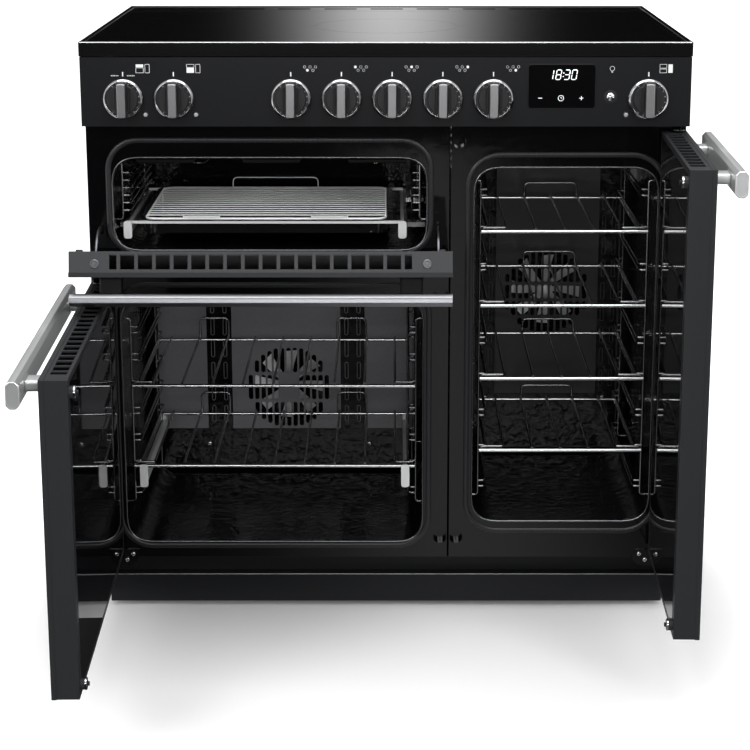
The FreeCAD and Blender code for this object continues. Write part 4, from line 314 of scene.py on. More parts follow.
# Aluminium, ground and bright anodised: pale, with long faint lines along the bar.
# Real grinding lines are 0.05 mm wide. They are drawn 0.4 mm wide so that they show.
HANDLE_ALUMINIUM = Finish("bright_anodised_aluminium", "handle_aluminium", Making.BRUSHED,
                          "#d2d3d4", "#dddedf", grain=0.4, depth=0.0012, roughness=0.36,
                          spread=0.02, metallic=0.82, anisotropy=0.3)
# The side handles' aluminium drawn a shade darker on the grill's bar: painted shade, so that it
# stays mid grey in the light.
# Its lines are drawn as coarse as those of the side handles.
GRILL_BAR_PAINTED_SHADE = Finish("handle_aluminium_painted_shade", "handle_aluminium", Making.BRUSHED,
                         "#85868a", "#929396", grain=0.4, depth=0.0012, roughness=0.34,
                         spread=0.02, metallic=1.0, anisotropy=0.3)
# Zinc casting, polished and plated: a dark mirror with a bright rim.
KNOB_RING = Finish("polished_zinc_ring", "knob_metal", Making.POLISHED, "#9c9c9e", "#adadaf",
                   grain=20.0, depth=0.002, roughness=0.14, spread=0.03, metallic=1.0)
# Zinc casting, ground satin: a soft grey bar. Its lines are drawn coarser than real, to show.
KNOB_GRIP = Finish("satin_zinc_grip", "knob_metal", Making.BRUSHED, "#828284", "#8e8e90",
                   grain=0.35, depth=0.003, roughness=0.34, spread=0.05, metallic=1.0)
# Chromed steel wire, polished: white highlights along the front of every rail.
CHROME_WIRE = Finish("chromed_wire", "chrome_wire", Making.POLISHED, "#d6d7d9", "#e2e3e5",
                     grain=6.0, depth=0.004, roughness=0.12, spread=0.03, metallic=1.0)
# Nickel plate on the trivet, drawn near white and almost matt: painted sheen, standing in for the
# highlights along its wires.
TRIVET_PAINTED_SHEEN = Finish("trivet_wire_painted_sheen", "chrome_wire", Making.POLISHED, "#f8f8f8", "#ffffff",
                       grain=6.0, depth=0.004, roughness=0.3, spread=0.03, metallic=0.1,
                       specular=1.0)
# Chromed wire drawn darker than the rails: painted shade, so that ladders and cross wires stay
# behind the bright rails.
CHROME_PAINTED_SHADE = Finish("chromed_wire_painted_shade", "chrome_wire", Making.POLISHED, "#88898b", "#949596",
                     grain=6.0, depth=0.004, roughness=0.18, spread=0.03, metallic=1.0)
# Zinc plate on rolled steel, gone dull: the stays and end screws read as plain grey metal.
ZINC_STAY = Finish("zinc_plated_stay", "bright_steel", Making.ROLLED, "#56575a", "#66676a",
                   grain=2.0, depth=0.006, roughness=0.36, spread=0.05, metallic=1.0)
# Rolled stainless steel: bright. Its rolling lines are drawn 1.2 mm apart, coarse enough to show.
BRIGHT_STEEL = Finish("rolled_stainless", "bright_steel", Making.ROLLED, "#c2c4c6", "#d2d4d5",
                      grain=1.2, depth=0.004, roughness=0.22, spread=0.04, metallic=1.0)
# Bright zinc on the drawn runners: a pale, soft grey from any side.
RUNNER_ZINC = Finish("bright_zinc_runner", "bright_steel", Making.ROLLED, "#d2d3d4", "#dcdddd",
                     grain=2.0, depth=0.004, roughness=0.4, spread=0.04, metallic=0.4)
# A pale metal line on the plinth's folded top edge, whose powder coat is charcoal: a painted
# highlight where the light catches the fold.
FOLD_SHEEN = Finish("plinth_fold_painted_highlight", "casing_paint", Making.POLISHED, "#9a9b9d", "#a4a5a7",
                    grain=8.0, depth=0.002, roughness=0.3, spread=0.03, metallic=1.0)
# Nickel alloy sheath, rolled, grown dull and brown-black with heat.
ELEMENT_OXIDE = Finish("oxidised_alloy_sheath", "fan_steel", Making.ROLLED,
                       "#1d1b1a", "#272422", grain=3.0, depth=0.01, roughness=0.45, spread=0.08,
                       metallic=1.0)
# Posts of the grill's handle drawn near black, where the side handles' posts are aluminium:
# painted shade behind their bar.
POST_PAINTED_SHADE = Finish("handle_post_painted_shade", "handle_aluminium", Making.BRUSHED,
                    "#0a0a0b", "#0e0e0f", grain=0.5, depth=0.003, roughness=0.45, specular=0.1)
# Aluminised steel, rolled and stamped: pale satin blades that show through the slots.
FAN_STEEL = Finish("aluminised_steel", "fan_steel", Making.ROLLED, "#d6d7d9", "#e2e3e4",
                   grain=2.0, depth=0.01, roughness=0.42, spread=0.05, metallic=0.35)
# Braided glass fibre over silicone: a soft black bead, with plaits about 2 mm wide.
SEAL_FIBRE = Finish("silicone_braid", "seal_rubber", Making.BRAIDED, "#17171a", "#1f2023",
                    grain=2.0, depth=0.12, roughness=0.38, spread=0.06, specular=0.45)
# Moulded nylon: dull black wheels. The mould's texture is drawn 0.8 mm wide to show.
ROLLER_NYLON = Finish("moulded_nylon", "roller_plastic", Making.MOULDED, "#1d1d1e", "#252526",
                      grain=0.8, depth=0.02, roughness=0.5)
# Heat-resistant nylon, moulded: near black, with fine spark texture that kills the shine.
DIAL_PLASTIC = Finish("moulded_dial_nylon", "switch_plastic", Making.MOULDED,
                      "#1c1c1e", "#222224", grain=0.5, depth=0.012, roughness=0.36,
                      specular=0.25)
# White ink, screen printed and baked: flat, crisp and a little short of pure white.
PRINT_WHITE = Finish("screen_print_white", "lens_glass", Making.SPRAYED, "#d9dadb", "#e4e5e6",
                     grain=0.4, depth=0.004, roughness=0.5)
# Grey ink, pad printed in the wells of the knobs: the scales are there but keep quiet.
PRINT_SOFT = Finish("pad_print_grey", "lens_glass", Making.SPRAYED, "#8a8b8c", "#949596",
                    grain=0.4, depth=0.004, roughness=0.5)
# Dark ceramic ink fired under the polish of the hob: it hardly shows from most sides.
PRINT_GREY = Finish("screen_print_grey", "ceramic_glass", Making.SPRAYED, "#161618", "#1a1a1c",
                    grain=0.4, depth=0.0, roughness=0.07, spread=0.01, specular=0.5)
# Lit segments of a vacuum display: cool white that glows in the dark window.
DIGIT_LIGHT = Finish("vacuum_display_light", "lens_glass", Making.SPRAYED, "#f2f6fa", "#ffffff",
                     grain=0.4, depth=0.0, roughness=0.5, glow=0.9)

# The finish of each CAD node that stays in sight.
NODE_FINISHES: dict[str, Finish] = {
    "side_panels": CASING_PAINT, "plinth": CASING_PAINT, "control_panel": FASCIA_PAINT,
    "door_skin_left": DOOR_PAINT, "door_skin_right": DOOR_PAINT, "grill_door_skin": DOOR_PAINT,
    "door_frame_left": DOOR_PAINT, "door_frame_right": DOOR_PAINT,
    "grill_door_frame": GRILL_DOOR_LIT_PAINT, "front_frames": FRAME_ENAMEL,
    "base_tray": CASING_PAINT, "back_panel": GALVANISED, "service_deck": GALVANISED,
    "terminal_box": DIAL_PLASTIC, "hinge_brackets": FRAME_ENAMEL,
    "induction_unit": GALVANISED, "grill_liner": CAVITY_ENAMEL,
    "oven_liner_left": CAVITY_ENAMEL, "oven_liner_right": CAVITY_ENAMEL,
    "grill_pan": CAVITY_ENAMEL, "fan_covers": COVER_ENAMEL, "hob_frame": TRIM_PAINT,
    "rear_vent": TRIM_PAINT, "hob_glass": CERAMIC_GLASS, "panel_lenses": LENS_GLASS,
    "control_switches": DIAL_PLASTIC, "oven_lamps": LAMP_GLASS, "door_glass_left": DOOR_GLASS,
    "door_glass_right": DOOR_GLASS, "grill_door_glass": DOOR_GLASS,
    "runners_left": RUNNER_ZINC, "grill_runners": RUNNER_ZINC, "grill_stays": ZINC_STAY,
    "levelling_feet": GALVANISED, "rear_rollers": ROLLER_NYLON, "fan_motors": GALVANISED,
    "heating_elements": ELEMENT_OXIDE,
}
# The width of the rounded edge that folding, moulding or cutting leaves on a node.
NODE_EDGES: dict[str, float] = {
    "side_panels": 0.4, "plinth": 0.4, "door_skin_left": 0.5, "door_skin_right": 0.5,
    "grill_door_skin": 0.5, "hob_frame": 0.6, "hinge_brackets": 0.5,
    "hob_glass": 0.5, "terminal_box": 1.0, "runners_left": 0.6, "grill_runners": 0.5,
    "grill_stays": 0.5,
}


# ---- drawing ----------------------------------------------------------------------------------
STRAIGHT = 0.02         # a turn below this, in radians, is drawn as a straight run
LEG_SHARE = 0.48        # an arc takes less than half of each leg beside it
ARC_STEP = 15.0         # degrees between the points of an arc
STEP_SLACK = 0.01       # keeps rounding from adding a point, so that equal arcs match


def corner_path(points: Sequence[Vector], bend: float, closed: bool = False) -> list[Vector]:
    """Rounds the corners of a path.

    Args:
        points: Corner points in millimetres.
        bend: Radius of the bends.
        closed: Whether the path runs back to its start.

    Returns:
        The points with an arc at each corner.
    """
    count = len(points)
    path: list[Vector] = []
    for i, point in enumerate(points):
        if bend <= 0 or (not closed and i in (0, count - 1)):
            path.append(point.copy())
            continue
        before = points[i - 1] - point
        after = points[(i + 1) % count] - point
        turn = math.pi - before.angle(after)
        if turn < STRAIGHT:
            path.append(point.copy())
            continue
        reach = min(bend * math.tan(turn / 2), LEG_SHARE * before.length,
                    LEG_SHARE * after.length)
        start = point + before.normalized() * reach
        end = point + after.normalized() * reach
        steps = max(3, math.ceil(math.degrees(turn) / ARC_STEP - STEP_SLACK))
        for step in range(steps + 1):
            t = step / steps
            path.append(start * (1 - t) ** 2 + point * (2 * t * (1 - t)) + end * t ** 2)
    return path


@dataclass
class Run:
    """One round wire: its corner points, radius, bend and whether it closes on itself."""

    points: Sequence[Vector]
    radius: float
    bend: float = 0.0
    closed: bool = False


def wires(name: str, runs: Sequence[Run], finish: Finish, body: str) -> bpy.types.Object:
    """Makes one piece from round wires.

    Args:
        name: The piece's name.
        runs: Its wires, in millimetres.
        finish: Its finish.
        body: The CAD body that it rides on.

    Returns:
        The curve object.
    """
    curve = bpy.data.curves.new(name, "CURVE")
    curve.dimensions = "3D"
    curve.bevel_depth = max(run.radius for run in runs) * MM
    curve.bevel_resolution = 3
    curve.use_fill_caps = True
    for run in runs:
        path = corner_path(run.points, run.bend, run.closed)
        spline = curve.splines.new("POLY")
        spline.points.add(len(path) - 1)
        for knot, place in zip(spline.points, path):
            knot.co = (*(place * MM), 1.0)
            knot.radius = run.radius * MM / curve.bevel_depth
        spline.use_cyclic_u = run.closed
        spline.use_smooth = True
    curve.materials.append(finish.material())
    made = bpy.data.objects.new(name, curve)
    return settle(made, body)


def settle(made: bpy.types.Object, body: str) -> bpy.types.Object:
    """Links a new object to the scene and rides it on its body."""
    bpy.context.scene.collection.objects.link(made)
    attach(made, body)
    LOG.info("%s on %s", made.name, body)
    return made


class Shape:
    """Faces gathered for one piece, in millimetres."""

    def __init__(self, turn: Matrix | None = None) -> None:
        """Starts empty; turn moves the finished piece, as a door's swing does."""
        self.points: list[Vector] = []
        self.faces: list[tuple[int, ...]] = []
        self.turn = turn

    def loft(self, rings: Sequence[Sequence[Vector]], caps: bool = True,
             looped: bool = False) -> None:
        """Skins closed rings of equal length, in order.

        Args:
            rings: The rings of points.
            caps: Whether the first and last ring are filled.
            looped: Whether the last ring joins the first.
        """
        start = len(self.points)
        count = len(rings[0])
        for ring in rings:
            self.points += [Vector(p) for p in ring]
        spans = len(rings) if looped else len(rings) - 1
        for r in range(spans):
            near = start + r * count
            far = start + ((r + 1) % len(rings)) * count
            for i in range(count):
                j = (i + 1) % count
                self.faces.append((near + i, near + j, far + j, far + i))
        if caps and not looped:
            self.faces.append(tuple(range(start, start + count)))
            self.faces.append(tuple(range(start + (len(rings) - 1) * count,
                                          start + len(rings) * count)))

    def lathe(self, base: Vector, axis: Vector, profile: Sequence[Pair], sides: int,
              caps: bool = False) -> None:
        """Turns a profile of (radius, distance) about an axis.

        Args:
            base: Point where the distance is zero.
            axis: Direction of the axis.
            profile: Radius and distance of each ring.
            sides: Number of sides.
            caps: Whether the ends are filled.
        """
        across = axis.orthogonal().normalized()
        up = axis.cross(across).normalized()
        rings = []
        for radius, distance in profile:
            turns = [2 * math.pi * i / sides for i in range(sides)]
            rings.append([base + axis * distance + (across * math.cos(t) + up * math.sin(t))
                          * max(radius, 0.01) for t in turns])
        self.loft(rings, caps)

    def block(self, low: Vector, high: Vector, edge: float) -> None:
        """Adds a block with its edges chamfered.

        Args:
            low: Its lowest corner.
            high: Its highest corner.
            edge: Width of the chamfer.
        """
        def ring(inset: float, y: float) -> list[Vector]:
            """Outline at one depth, drawn in by the inset, its corners cut to meet the next."""
            x0, x1, z0, z1 = low.x + inset, high.x - inset, low.z + inset, high.z - inset
            # a trace of the cut stays, so that no two corners fall together
            cut = edge - inset * 0.999
            return [Vector(p) for p in (
                (x0 + cut, y, z0), (x1 - cut, y, z0), (x1, y, z0 + cut), (x1, y, z1 - cut),
                (x1 - cut, y, z1), (x0 + cut, y, z1), (x0, y, z1 - cut), (x0, y, z0 + cut))]
        self.loft([ring(edge, low.y), ring(0, low.y + edge), ring(0, high.y - edge),
                   ring(edge, high.y)])

    def plate(self, outline: Sequence[Pair], y: float) -> None:
        """Adds a flat face at one depth from (x, z) pairs."""
        start = len(self.points)
        self.points += [Vector((x, y, z)) for x, z in outline]
        self.faces.append(tuple(range(start, start + len(outline))))

    def stroke(self, start: Pair, end: Pair, width: float, y: float) -> None:
        """Adds a printed line between two (x, z) places."""
        along = Vector((end[0] - start[0], end[1] - start[1])).normalized()
        side = Vector((-along.y, along.x)) * (width / 2)
        self.plate([(start[0] + side.x, start[1] + side.y),
                    (end[0] + side.x, end[1] + side.y),
                    (end[0] - side.x, end[1] - side.y),
                    (start[0] - side.x, start[1] - side.y)], y)

    def outline(self, corners: Sequence[Pair], width: float, y: float) -> None:
        """Adds a closed printed line through (x, z) places."""
        for i, corner in enumerate(corners):
            self.stroke(corner, corners[(i + 1) % len(corners)], width, y)

    def disc(self, middle: Pair, radius: float, y: float, inner: float = 0.0,
             sides: int = 24) -> None:
        """Adds a printed disc, or a ring if it has an inner radius."""
        def circle(reach: float) -> list[Pair]:
            """Places round the middle at one radius."""
            turns = [2 * math.pi * i / sides for i in range(sides)]
            return [(middle[0] + reach * math.cos(t), middle[1] + reach * math.sin(t))
                    for t in turns]
        edge = circle(radius)
        if inner <= 0:
            self.plate(edge, y)
            return
        hole = circle(inner)
        for i in range(sides):
            j = (i + 1) % sides
            self.plate([edge[i], edge[j], hole[j], hole[i]], y)

    def piece(self, name: str, finish: Finish, body: str, sharp: float = 35.0,
              printed: bool = False) -> bpy.types.Object:
        """Makes the mesh object.

        Args:
            name: The piece's name.
            finish: Its finish.
            body: The CAD body that it rides on.
            sharp: Angle in degrees from which an edge stays sharp.
            printed: Whether its faces are ink and keep the order they were drawn in.

        Returns:
            The object.
        """
        mesh = bpy.data.meshes.new(name)
        turn = self.turn or Matrix.Identity(4)
        mesh.from_pydata([tuple((turn @ p) * MM) for p in self.points], [], self.faces)
        work = bmesh.new()
        work.from_mesh(mesh)
        if not printed:
            bmesh.ops.remove_doubles(work, verts=work.verts, dist=0.01 * MM)
            bmesh.ops.recalc_face_normals(work, faces=work.faces)
        for face in work.faces:
            face.smooth = not printed
        for edge in work.edges:
            edge.smooth = len(edge.link_faces) == 2 and (
                edge.calc_face_angle(0.0) < math.radians(sharp))
        work.to_mesh(mesh)
        work.free()
        mesh.materials.append(finish.material())
        return settle(bpy.data.objects.new(name, mesh), body)


@dataclass(frozen=True)
class Range3:
    """Lowest and highest corner of a CAD node, in millimetres."""

    low: Vector
    high: Vector

    @classmethod
    def of(cls, node: str) -> Range3:
        """Reads the corners of a CAD node."""
        low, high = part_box(node)
        return cls(low / MM, high / MM)

    @property
    def middle(self) -> Vector:
        """Middle of the box."""
        return (self.low + self.high) / 2


# ---- CAD nodes --------------------------------------------------------------------------------
@dataclass
class Casework:
    """Dresses the CAD nodes that stay: finish, and a small radius on folded and cut edges."""

    weld: float = 0.01
    sharp: float = 40.0

    def dress(self, nodes: dict[str, bpy.types.Object]) -> None:
        """Gives each node its finish.

        Args:
            nodes: The CAD nodes by name.
        """
        for name, finish in NODE_FINISHES.items():
            node = nodes[name]
            node.data.materials.clear()
            node.data.materials.append(finish.material())
            if name in NODE_EDGES:
                self.ease(node, NODE_EDGES[name])
            LOG.info("%s in %s", name, finish.title)

    def ease(self, node: bpy.types.Object, width: float) -> None:
        """Rounds a node's sharp edges with modifiers.

        Args:
            node: The CAD node.
            width: Width of the round in millimetres.
        """
        join = node.modifiers.new("weld", "WELD")
        join.merge_threshold = self.weld * MM
        bevel = node.modifiers.new("edges", "BEVEL")
        bevel.width = width * MM
        bevel.segments = 2
        bevel.limit_method = "ANGLE"
        bevel.angle_limit = math.radians(self.sharp)
        bevel.harden_normals = False


# ---- knobs ------------------------------------------------------------------------------------
@dataclass
class Knob:
    """One rotary control: polished ring, dark dial with its ribs and marks, and the grip."""

    number: int
    height: float = 28.0
    ring: tuple[Pair, ...] = ((24.0, 0.1), (29.4, 0.0), (30.0, 0.7), (30.0, 4.4), (29.6, 5.3),
                              (27.1, 7.8), (26.5, 8.0), (26.0, 7.8), (25.7, 6.6))
    dial: tuple[Pair, ...] = ((25.7, 6.6), (22.7, 6.6), (22.3, 7.0), (22.0, 10.3), (21.3, 11.0),
                              (0.0, 11.0))
    dial_h: float = 11.0
    well_h: float = 6.6
    overlap: float = 0.5
    grip_w: float = 14.5
    grip_r: float = 26.0
    grip_steps: tuple[Pair, ...] = ((10.5, 0.0), (25.8, 0.35), (27.5, 1.3), (28.0, 2.0))
    ribs: tuple[tuple[float, float, float], ...] = ((9.3, 3.0, 19.0), (11.6, 1.6, 17.5))
    rib_w: float = 1.6
    mark_r: Pair = (23.3, 25.2)
    mark_w: float = 0.9
    mark_wide: float = 1.6
    marks: int = 14
    first_mark: float = 128.0
    sweep: float = 256.0
    ink: float = 0.08
    sides: int = 72

    def build(self) -> None:
        """Builds the pieces of the knob in place of its CAD node."""
        node = f"knob_{self.number}"
        body = f"control_{self.number}"
        box = Range3.of(node)
        base = Vector((box.middle.x, box.low.y + self.height, box.middle.z))
        front = -Y_AXIS
        ring = Shape()
        ring.lathe(base, front, self.ring, self.sides)
        made = ring.piece(f"{node}_ring", KNOB_RING, body, sharp=50)
        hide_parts(node)
        dial = Shape()
        dial.lathe(base, front, self.dial, self.sides)
        for side in (-1, 1):
            for out, height, reach in self.ribs:
                x, half = base.x + side * out, self.rib_w / 2
                top = base.y - self.dial_h
                dial.block(Vector((x - half, top - height, base.z - reach)),
                           Vector((x + half, top + self.overlap, base.z + reach)),
                           self.rib_w / 4)
        dial.piece(f"{node}_dial", DIAL_PLASTIC, body)
        self.grip(base).piece(f"{node}_grip", KNOB_GRIP, body, sharp=30)
        self.dial_marks(base).piece(f"{node}_marks", PRINT_SOFT, body, printed=True)

    def grip(self, base: Vector) -> Shape:
        """Draws the bar across the dial, its ends curved and its front edge chamfered.

        Args:
            base: Middle of the knob's back.

        Returns:
            The shape.
        """
        shape = Shape()
        rings = []
        for height, inset in self.grip_steps:
            half = self.grip_w / 2 - inset
            radius = self.grip_r - inset
            reach = math.asin(half / radius)
            ring = []
            for middle in (math.pi / 2, -math.pi / 2):
                for step in range(9):
                    turn = middle + reach * (1 - step / 4)
                    ring.append(base + Vector((radius * math.cos(turn), -height,
                                               radius * math.sin(turn))))
            rings.append(ring)
        shape.loft(rings)
        return shape

    def dial_marks(self, base: Vector) -> Shape:
        """Draws the scale in the well of the ring.

        Args:
            base: Middle of the knob's back.

        Returns:
            The printed marks.
        """
        shape = Shape()
        y = base.y - self.well_h - self.ink
        for i in range(self.marks):
            turn = math.radians(self.first_mark - i * self.sweep / (self.marks - 1))
            way = Vector((math.cos(turn), math.sin(turn)))
            near, far = self.mark_r
            start = (base.x + way.x * near, base.z + way.y * near)
            end = (base.x + way.x * far, base.z + way.y * far)
            shape.stroke(start, end, self.mark_w if i % 3 else self.mark_wide, y)
        return shape


# ---- fascia print, clock and push button ------------------------------------------------------
@dataclass
class FasciaPrint:
    """Print on the control panel and the frosted domes of its neon lamps.

    A symbol's split is how far the grill's foot and the oven's head lie above its middle.
    """

    proud: float = 0.15
    tick: Pair = (33.0, 39.5)
    tick_w: float = 1.7
    icon_up: float = 44.5
    zone_aside: float = 28.5
    oven_aside: float = 19.5
    tall_aside: float = 16.0
    bulb_aside: float = 1.5
    dot_r: float = 0.8
    dot_up: float = 34.0
    dot_first: float = 7.0
    dot_pitch: float = 2.4
    dots: int = 5
    zone_r: Pair = (2.0, 1.65)
    zone_pitch: float = 8.0
    zone_row: float = 2.4
    icon_half: float = 6.2
    icon_wide: Pair = (11.0, 10.0)
    icon_tall: float = 6.4
    icon_gap: float = 2.4
    icon_split: Pair = (1.8, 1.0)
    icon_even: float = 0.6
    icon_line: float = 0.8
    line: float = 0.7
    bulb_r: Pair = (3.6, 3.1)
    bulb_cap: tuple[Pair, ...] = ((1.4, 4.4), (1.0, 5.6))
    neon_aside: float = 32.0
    neon_up: float = 5.5
    neon_proud: float = 1.0
    neon_dome: tuple[Pair, ...] = ((4.1, 0.0), (4.1, 0.3), (3.0, 0.5), (2.2, 0.9), (1.2, 1.2),
                                   (0.0, 1.3))

    def build(self) -> None:
        """Builds the print and the domes."""
        face = Range3.of("control_panel").low.y
        self.print_panel(face - self.proud, Range3.of("knob_1").middle.z)
        self.neon_domes(face)

    def print_panel(self, y: float, level: float) -> None:
        """Prints the ticks and the small symbols beside the knobs.

        Args:
            y: Depth of the print.
            level: Height of the knobs' middles.
        """
        shape = Shape()
        up = level + self.icon_up
        for number in range(1, 9):
            x = Range3.of(f"knob_{number}").middle.x
            shape.stroke((x, level + self.tick[0]), (x, level + self.tick[1]),
                         self.tick_w, y)
            if 3 <= number <= 7:
                self.zone_icon(shape, x + self.zone_aside, up, number - 3, y)
            elif number == 8:
                self.oven_icon(shape, x + self.tall_aside, up, 2, y)
            else:
                self.oven_icon(shape, x + self.oven_aside, up, number - 1, y)
        for side in (-1, 1):
            for i in range(self.dots):
                aside = side * (self.dot_first + self.dot_pitch * i)
                shape.disc((Range3.of("knob_1").middle.x + aside, level + self.dot_up),
                           self.dot_r, y, sides=8)
        self.bulb_icon(shape, Range3.of("light_button").middle.x + self.bulb_aside, up, y)
        shape.piece("fascia_print", PRINT_WHITE, "cooker", printed=True)

    def oven_icon(self, shape: Shape, x: float, z: float, chosen: int, y: float) -> None:
        """Prints the outline of the three cavities with the chosen one filled.

        Args:
            shape: The print it joins.
            x: Left edge of the symbol.
            z: Middle height of the symbol.
            chosen: 0 for the grill, 1 for the wide oven, 2 for the tall oven.
            y: Depth of the print.
        """
        half, line = self.icon_half, self.line * self.icon_line
        if chosen < 2:
            wide, (top, foot) = self.icon_wide[0], self.icon_split
        else:
            wide, (top, foot) = self.icon_wide[1], (self.icon_even, -self.icon_even)
        for i, (low, high) in enumerate(((z + top, z + half), (z - half, z + foot))):
            corners = [(x, low), (x + wide, low), (x + wide, high), (x, high)]
            if i == chosen:
                shape.plate(corners, y)
            else:
                shape.outline(corners, line, y)
        near = x + wide + self.icon_gap
        far = near + self.icon_tall
        corners = [(near, z - half), (far, z - half), (far, z + half), (near, z + half)]
        if chosen == 2:
            shape.plate(corners, y)
        else:
            shape.outline(corners, line, y)

    def zone_icon(self, shape: Shape, x: float, z: float, zone: int, y: float) -> None:
        """Prints the five hob zones as small rings with the chosen one filled.

        Args:
            shape: The print it joins.
            x: Middle of the symbol.
            z: Middle height of the symbol.
            zone: 0 to 4, in the order of the knobs.
            y: Depth of the print.
        """
        pitch, row = self.zone_pitch, self.zone_row
        outer, inner = self.zone_r
        places = [(x - pitch / 2, z - row), (x - pitch, z + row), (x, z + row),
                  (x + pitch, z + row), (x + pitch / 2, z - row)]
        for i, place in enumerate(places):
            shape.disc(place, outer, y, 0.0 if i == zone else inner, sides=16)

    def bulb_icon(self, shape: Shape, x: float, z: float, y: float) -> None:
        """Prints a light bulb as a ring with a cap below."""
        outer, inner = self.bulb_r
        shape.disc((x, z), outer, y, inner, sides=20)
        for half, down in self.bulb_cap:
            shape.stroke((x - half, z - down), (x + half, z - down), self.line, y)

    def neon_domes(self, face: float) -> None:
        """Sets a frosted dome on each neon lens.

        Args:
            face: Depth of the panel's face.
        """
        shape = Shape()
        lens = Range3.of("panel_lenses")
        knobs = [Range3.of(f"knob_{i}").middle.x for i in (1, 2, 8)]
        aside = self.neon_aside
        for x in (knobs[0] + aside, knobs[1] + aside, knobs[2] - aside):
            base = Vector((x, face - self.neon_proud, lens.low.z + self.neon_up))
            shape.lathe(base, -Y_AXIS, self.neon_dome, 32)
        shape.piece("neon_domes", NEON_LENS, "cooker")


@dataclass
class Clock:
    """Bezel of the clock's window, with its lit figures and touch symbols."""

    proud: float = 0.15
    window_middle: Pair = (258.7, 843.0)
    window_half: Pair = (49.0, 32.0)
    window_r: float = 4.0
    bezel_w: float = 1.4
    bezel_h: float = 0.5
    bezel_crest: float = 0.6
    bezel_tuck: float = 0.3
    figures: tuple[tuple[str, float], ...] = (("1", -1.5), ("8", 10.0), ("3", 22.5), ("0", 33.0))
    figures_left: float = 19.5
    figures_up: float = 10.5
    figure_w: float = 7.0
    figure_h: float = 14.0
    slant: float = 0.16
    segment_w: float = 1.15
    segment_gap: float = 0.7
    colon_x: float = 20.6
    colon_ups: Pair = (4.5, 9.5)
    colon_r: float = 0.8
    touch_down: float = 17.0
    touch_x: tuple[float, float, float] = (-31.5, -1.0, 29.0)
    touch_reach: float = 3.0
    touch_w: float = 0.65
    dial_r: Pair = (4.3, 3.8)
    hands: Pair = (2.3, 1.8)
    hand_w: float = 0.5

    def build(self) -> None:
        """Builds the bezel, and the figures and symbols as one piece."""
        face = Range3.of("control_panel").low.y
        self.bezel(face).piece("display_bezel", FASCIA_PAINT, "cooker")
        y = face - self.proud
        middle_x, middle_z = self.window_middle
        foot = middle_z + self.figures_up
        lit = Shape()
        left = middle_x - self.figures_left
        for figure, place in self.figures:
            self.figure(lit, figure, left + place, foot, y)
        for up in self.colon_ups:
            lean = self.slant * up
            lit.disc((left + self.colon_x + lean, foot + up), self.colon_r, y, sides=12)
        self.touch_symbols(lit, y)
        lit.piece("display_digits", DIGIT_LIGHT, "cooker", printed=True)

    def bezel(self, face: float) -> Shape:
        """Draws the thin frame round the window.

        Args:
            face: Depth of the panel's face.

        Returns:
            The shape.
        """
        middle_x, middle_z = self.window_middle
        frame = Shape()
        half_x, half_z = (half - self.window_r for half in self.window_half)
        wall, lip = self.bezel_w, self.bezel_h
        rings = []
        for grow, lift in ((wall, 0.0), (wall * self.bezel_crest, lip), (0.0, lip),
                           (-self.bezel_tuck, 0.0)):
            ring = []
            for corner, (sx, sz) in enumerate(((1, 1), (-1, 1), (-1, -1), (1, -1))):
                radius = self.window_r + grow
                for step in range(5):
                    turn = math.pi / 2 * (corner + step / 4)
                    ring.append(Vector((middle_x + sx * half_x + radius * math.cos(turn),
                                        face - lift,
                                        middle_z + sz * half_z + radius * math.sin(turn))))
            rings.append(ring)
        frame.loft(rings, caps=False)
        return frame

    def touch_symbols(self, shape: Shape, y: float) -> None:
        """Draws the minus, the small dial and the plus below the figures.

        Args:
            shape: The print it joins.
            y: Depth of the print.
        """
        middle_x, middle_z = self.window_middle
        low, reach = middle_z - self.touch_down, self.touch_reach
        minus_x, dial_x, plus_x = (middle_x + aside for aside in self.touch_x)
        for x in (minus_x, plus_x):
            shape.stroke((x - reach, low), (x + reach, low), self.touch_w, y)
        shape.stroke((plus_x, low - reach), (plus_x, low + reach), self.touch_w, y)
        outer, inner = self.dial_r
        shape.disc((dial_x, low), outer, y, inner)
        minute, hour = self.hands
        shape.stroke((dial_x, low), (dial_x, low + minute), self.hand_w, y)
        shape.stroke((dial_x, low), (dial_x + hour, low), self.hand_w, y)

    def figure(self, shape: Shape, figure: str, x: float, z: float, y: float) -> None:
        """Draws one seven-segment figure.

        Args:
            shape: The print it joins.
            figure: The figure.
            x: Left of the figure at its foot.
            z: Height of its foot.
            y: Depth of the print.
        """
        lit = {"0": "abcdef", "1": "bc", "3": "abcdg", "8": "abcdefg"}[figure]
        w, h = self.figure_w, self.figure_h
        ends = {"a": ((0, h), (w, h)), "b": ((w, h / 2), (w, h)), "c": ((w, 0), (w, h / 2)),
                "d": ((0, 0), (w, 0)), "e": ((0, 0), (0, h / 2)), "f": ((0, h / 2), (0, h)),
                "g": ((0, h / 2), (w, h / 2))}
        for segment in lit:
            points = []
            for dx, dz in ends[segment]:
                points.append(Vector((x + dx + self.slant * dz, z + dz)))
            along = (points[1] - points[0]).normalized() * self.segment_gap
            start, end = points[0] + along, points[1] - along
            shape.stroke((start.x, start.y), (end.x, end.y), self.segment_w, y)


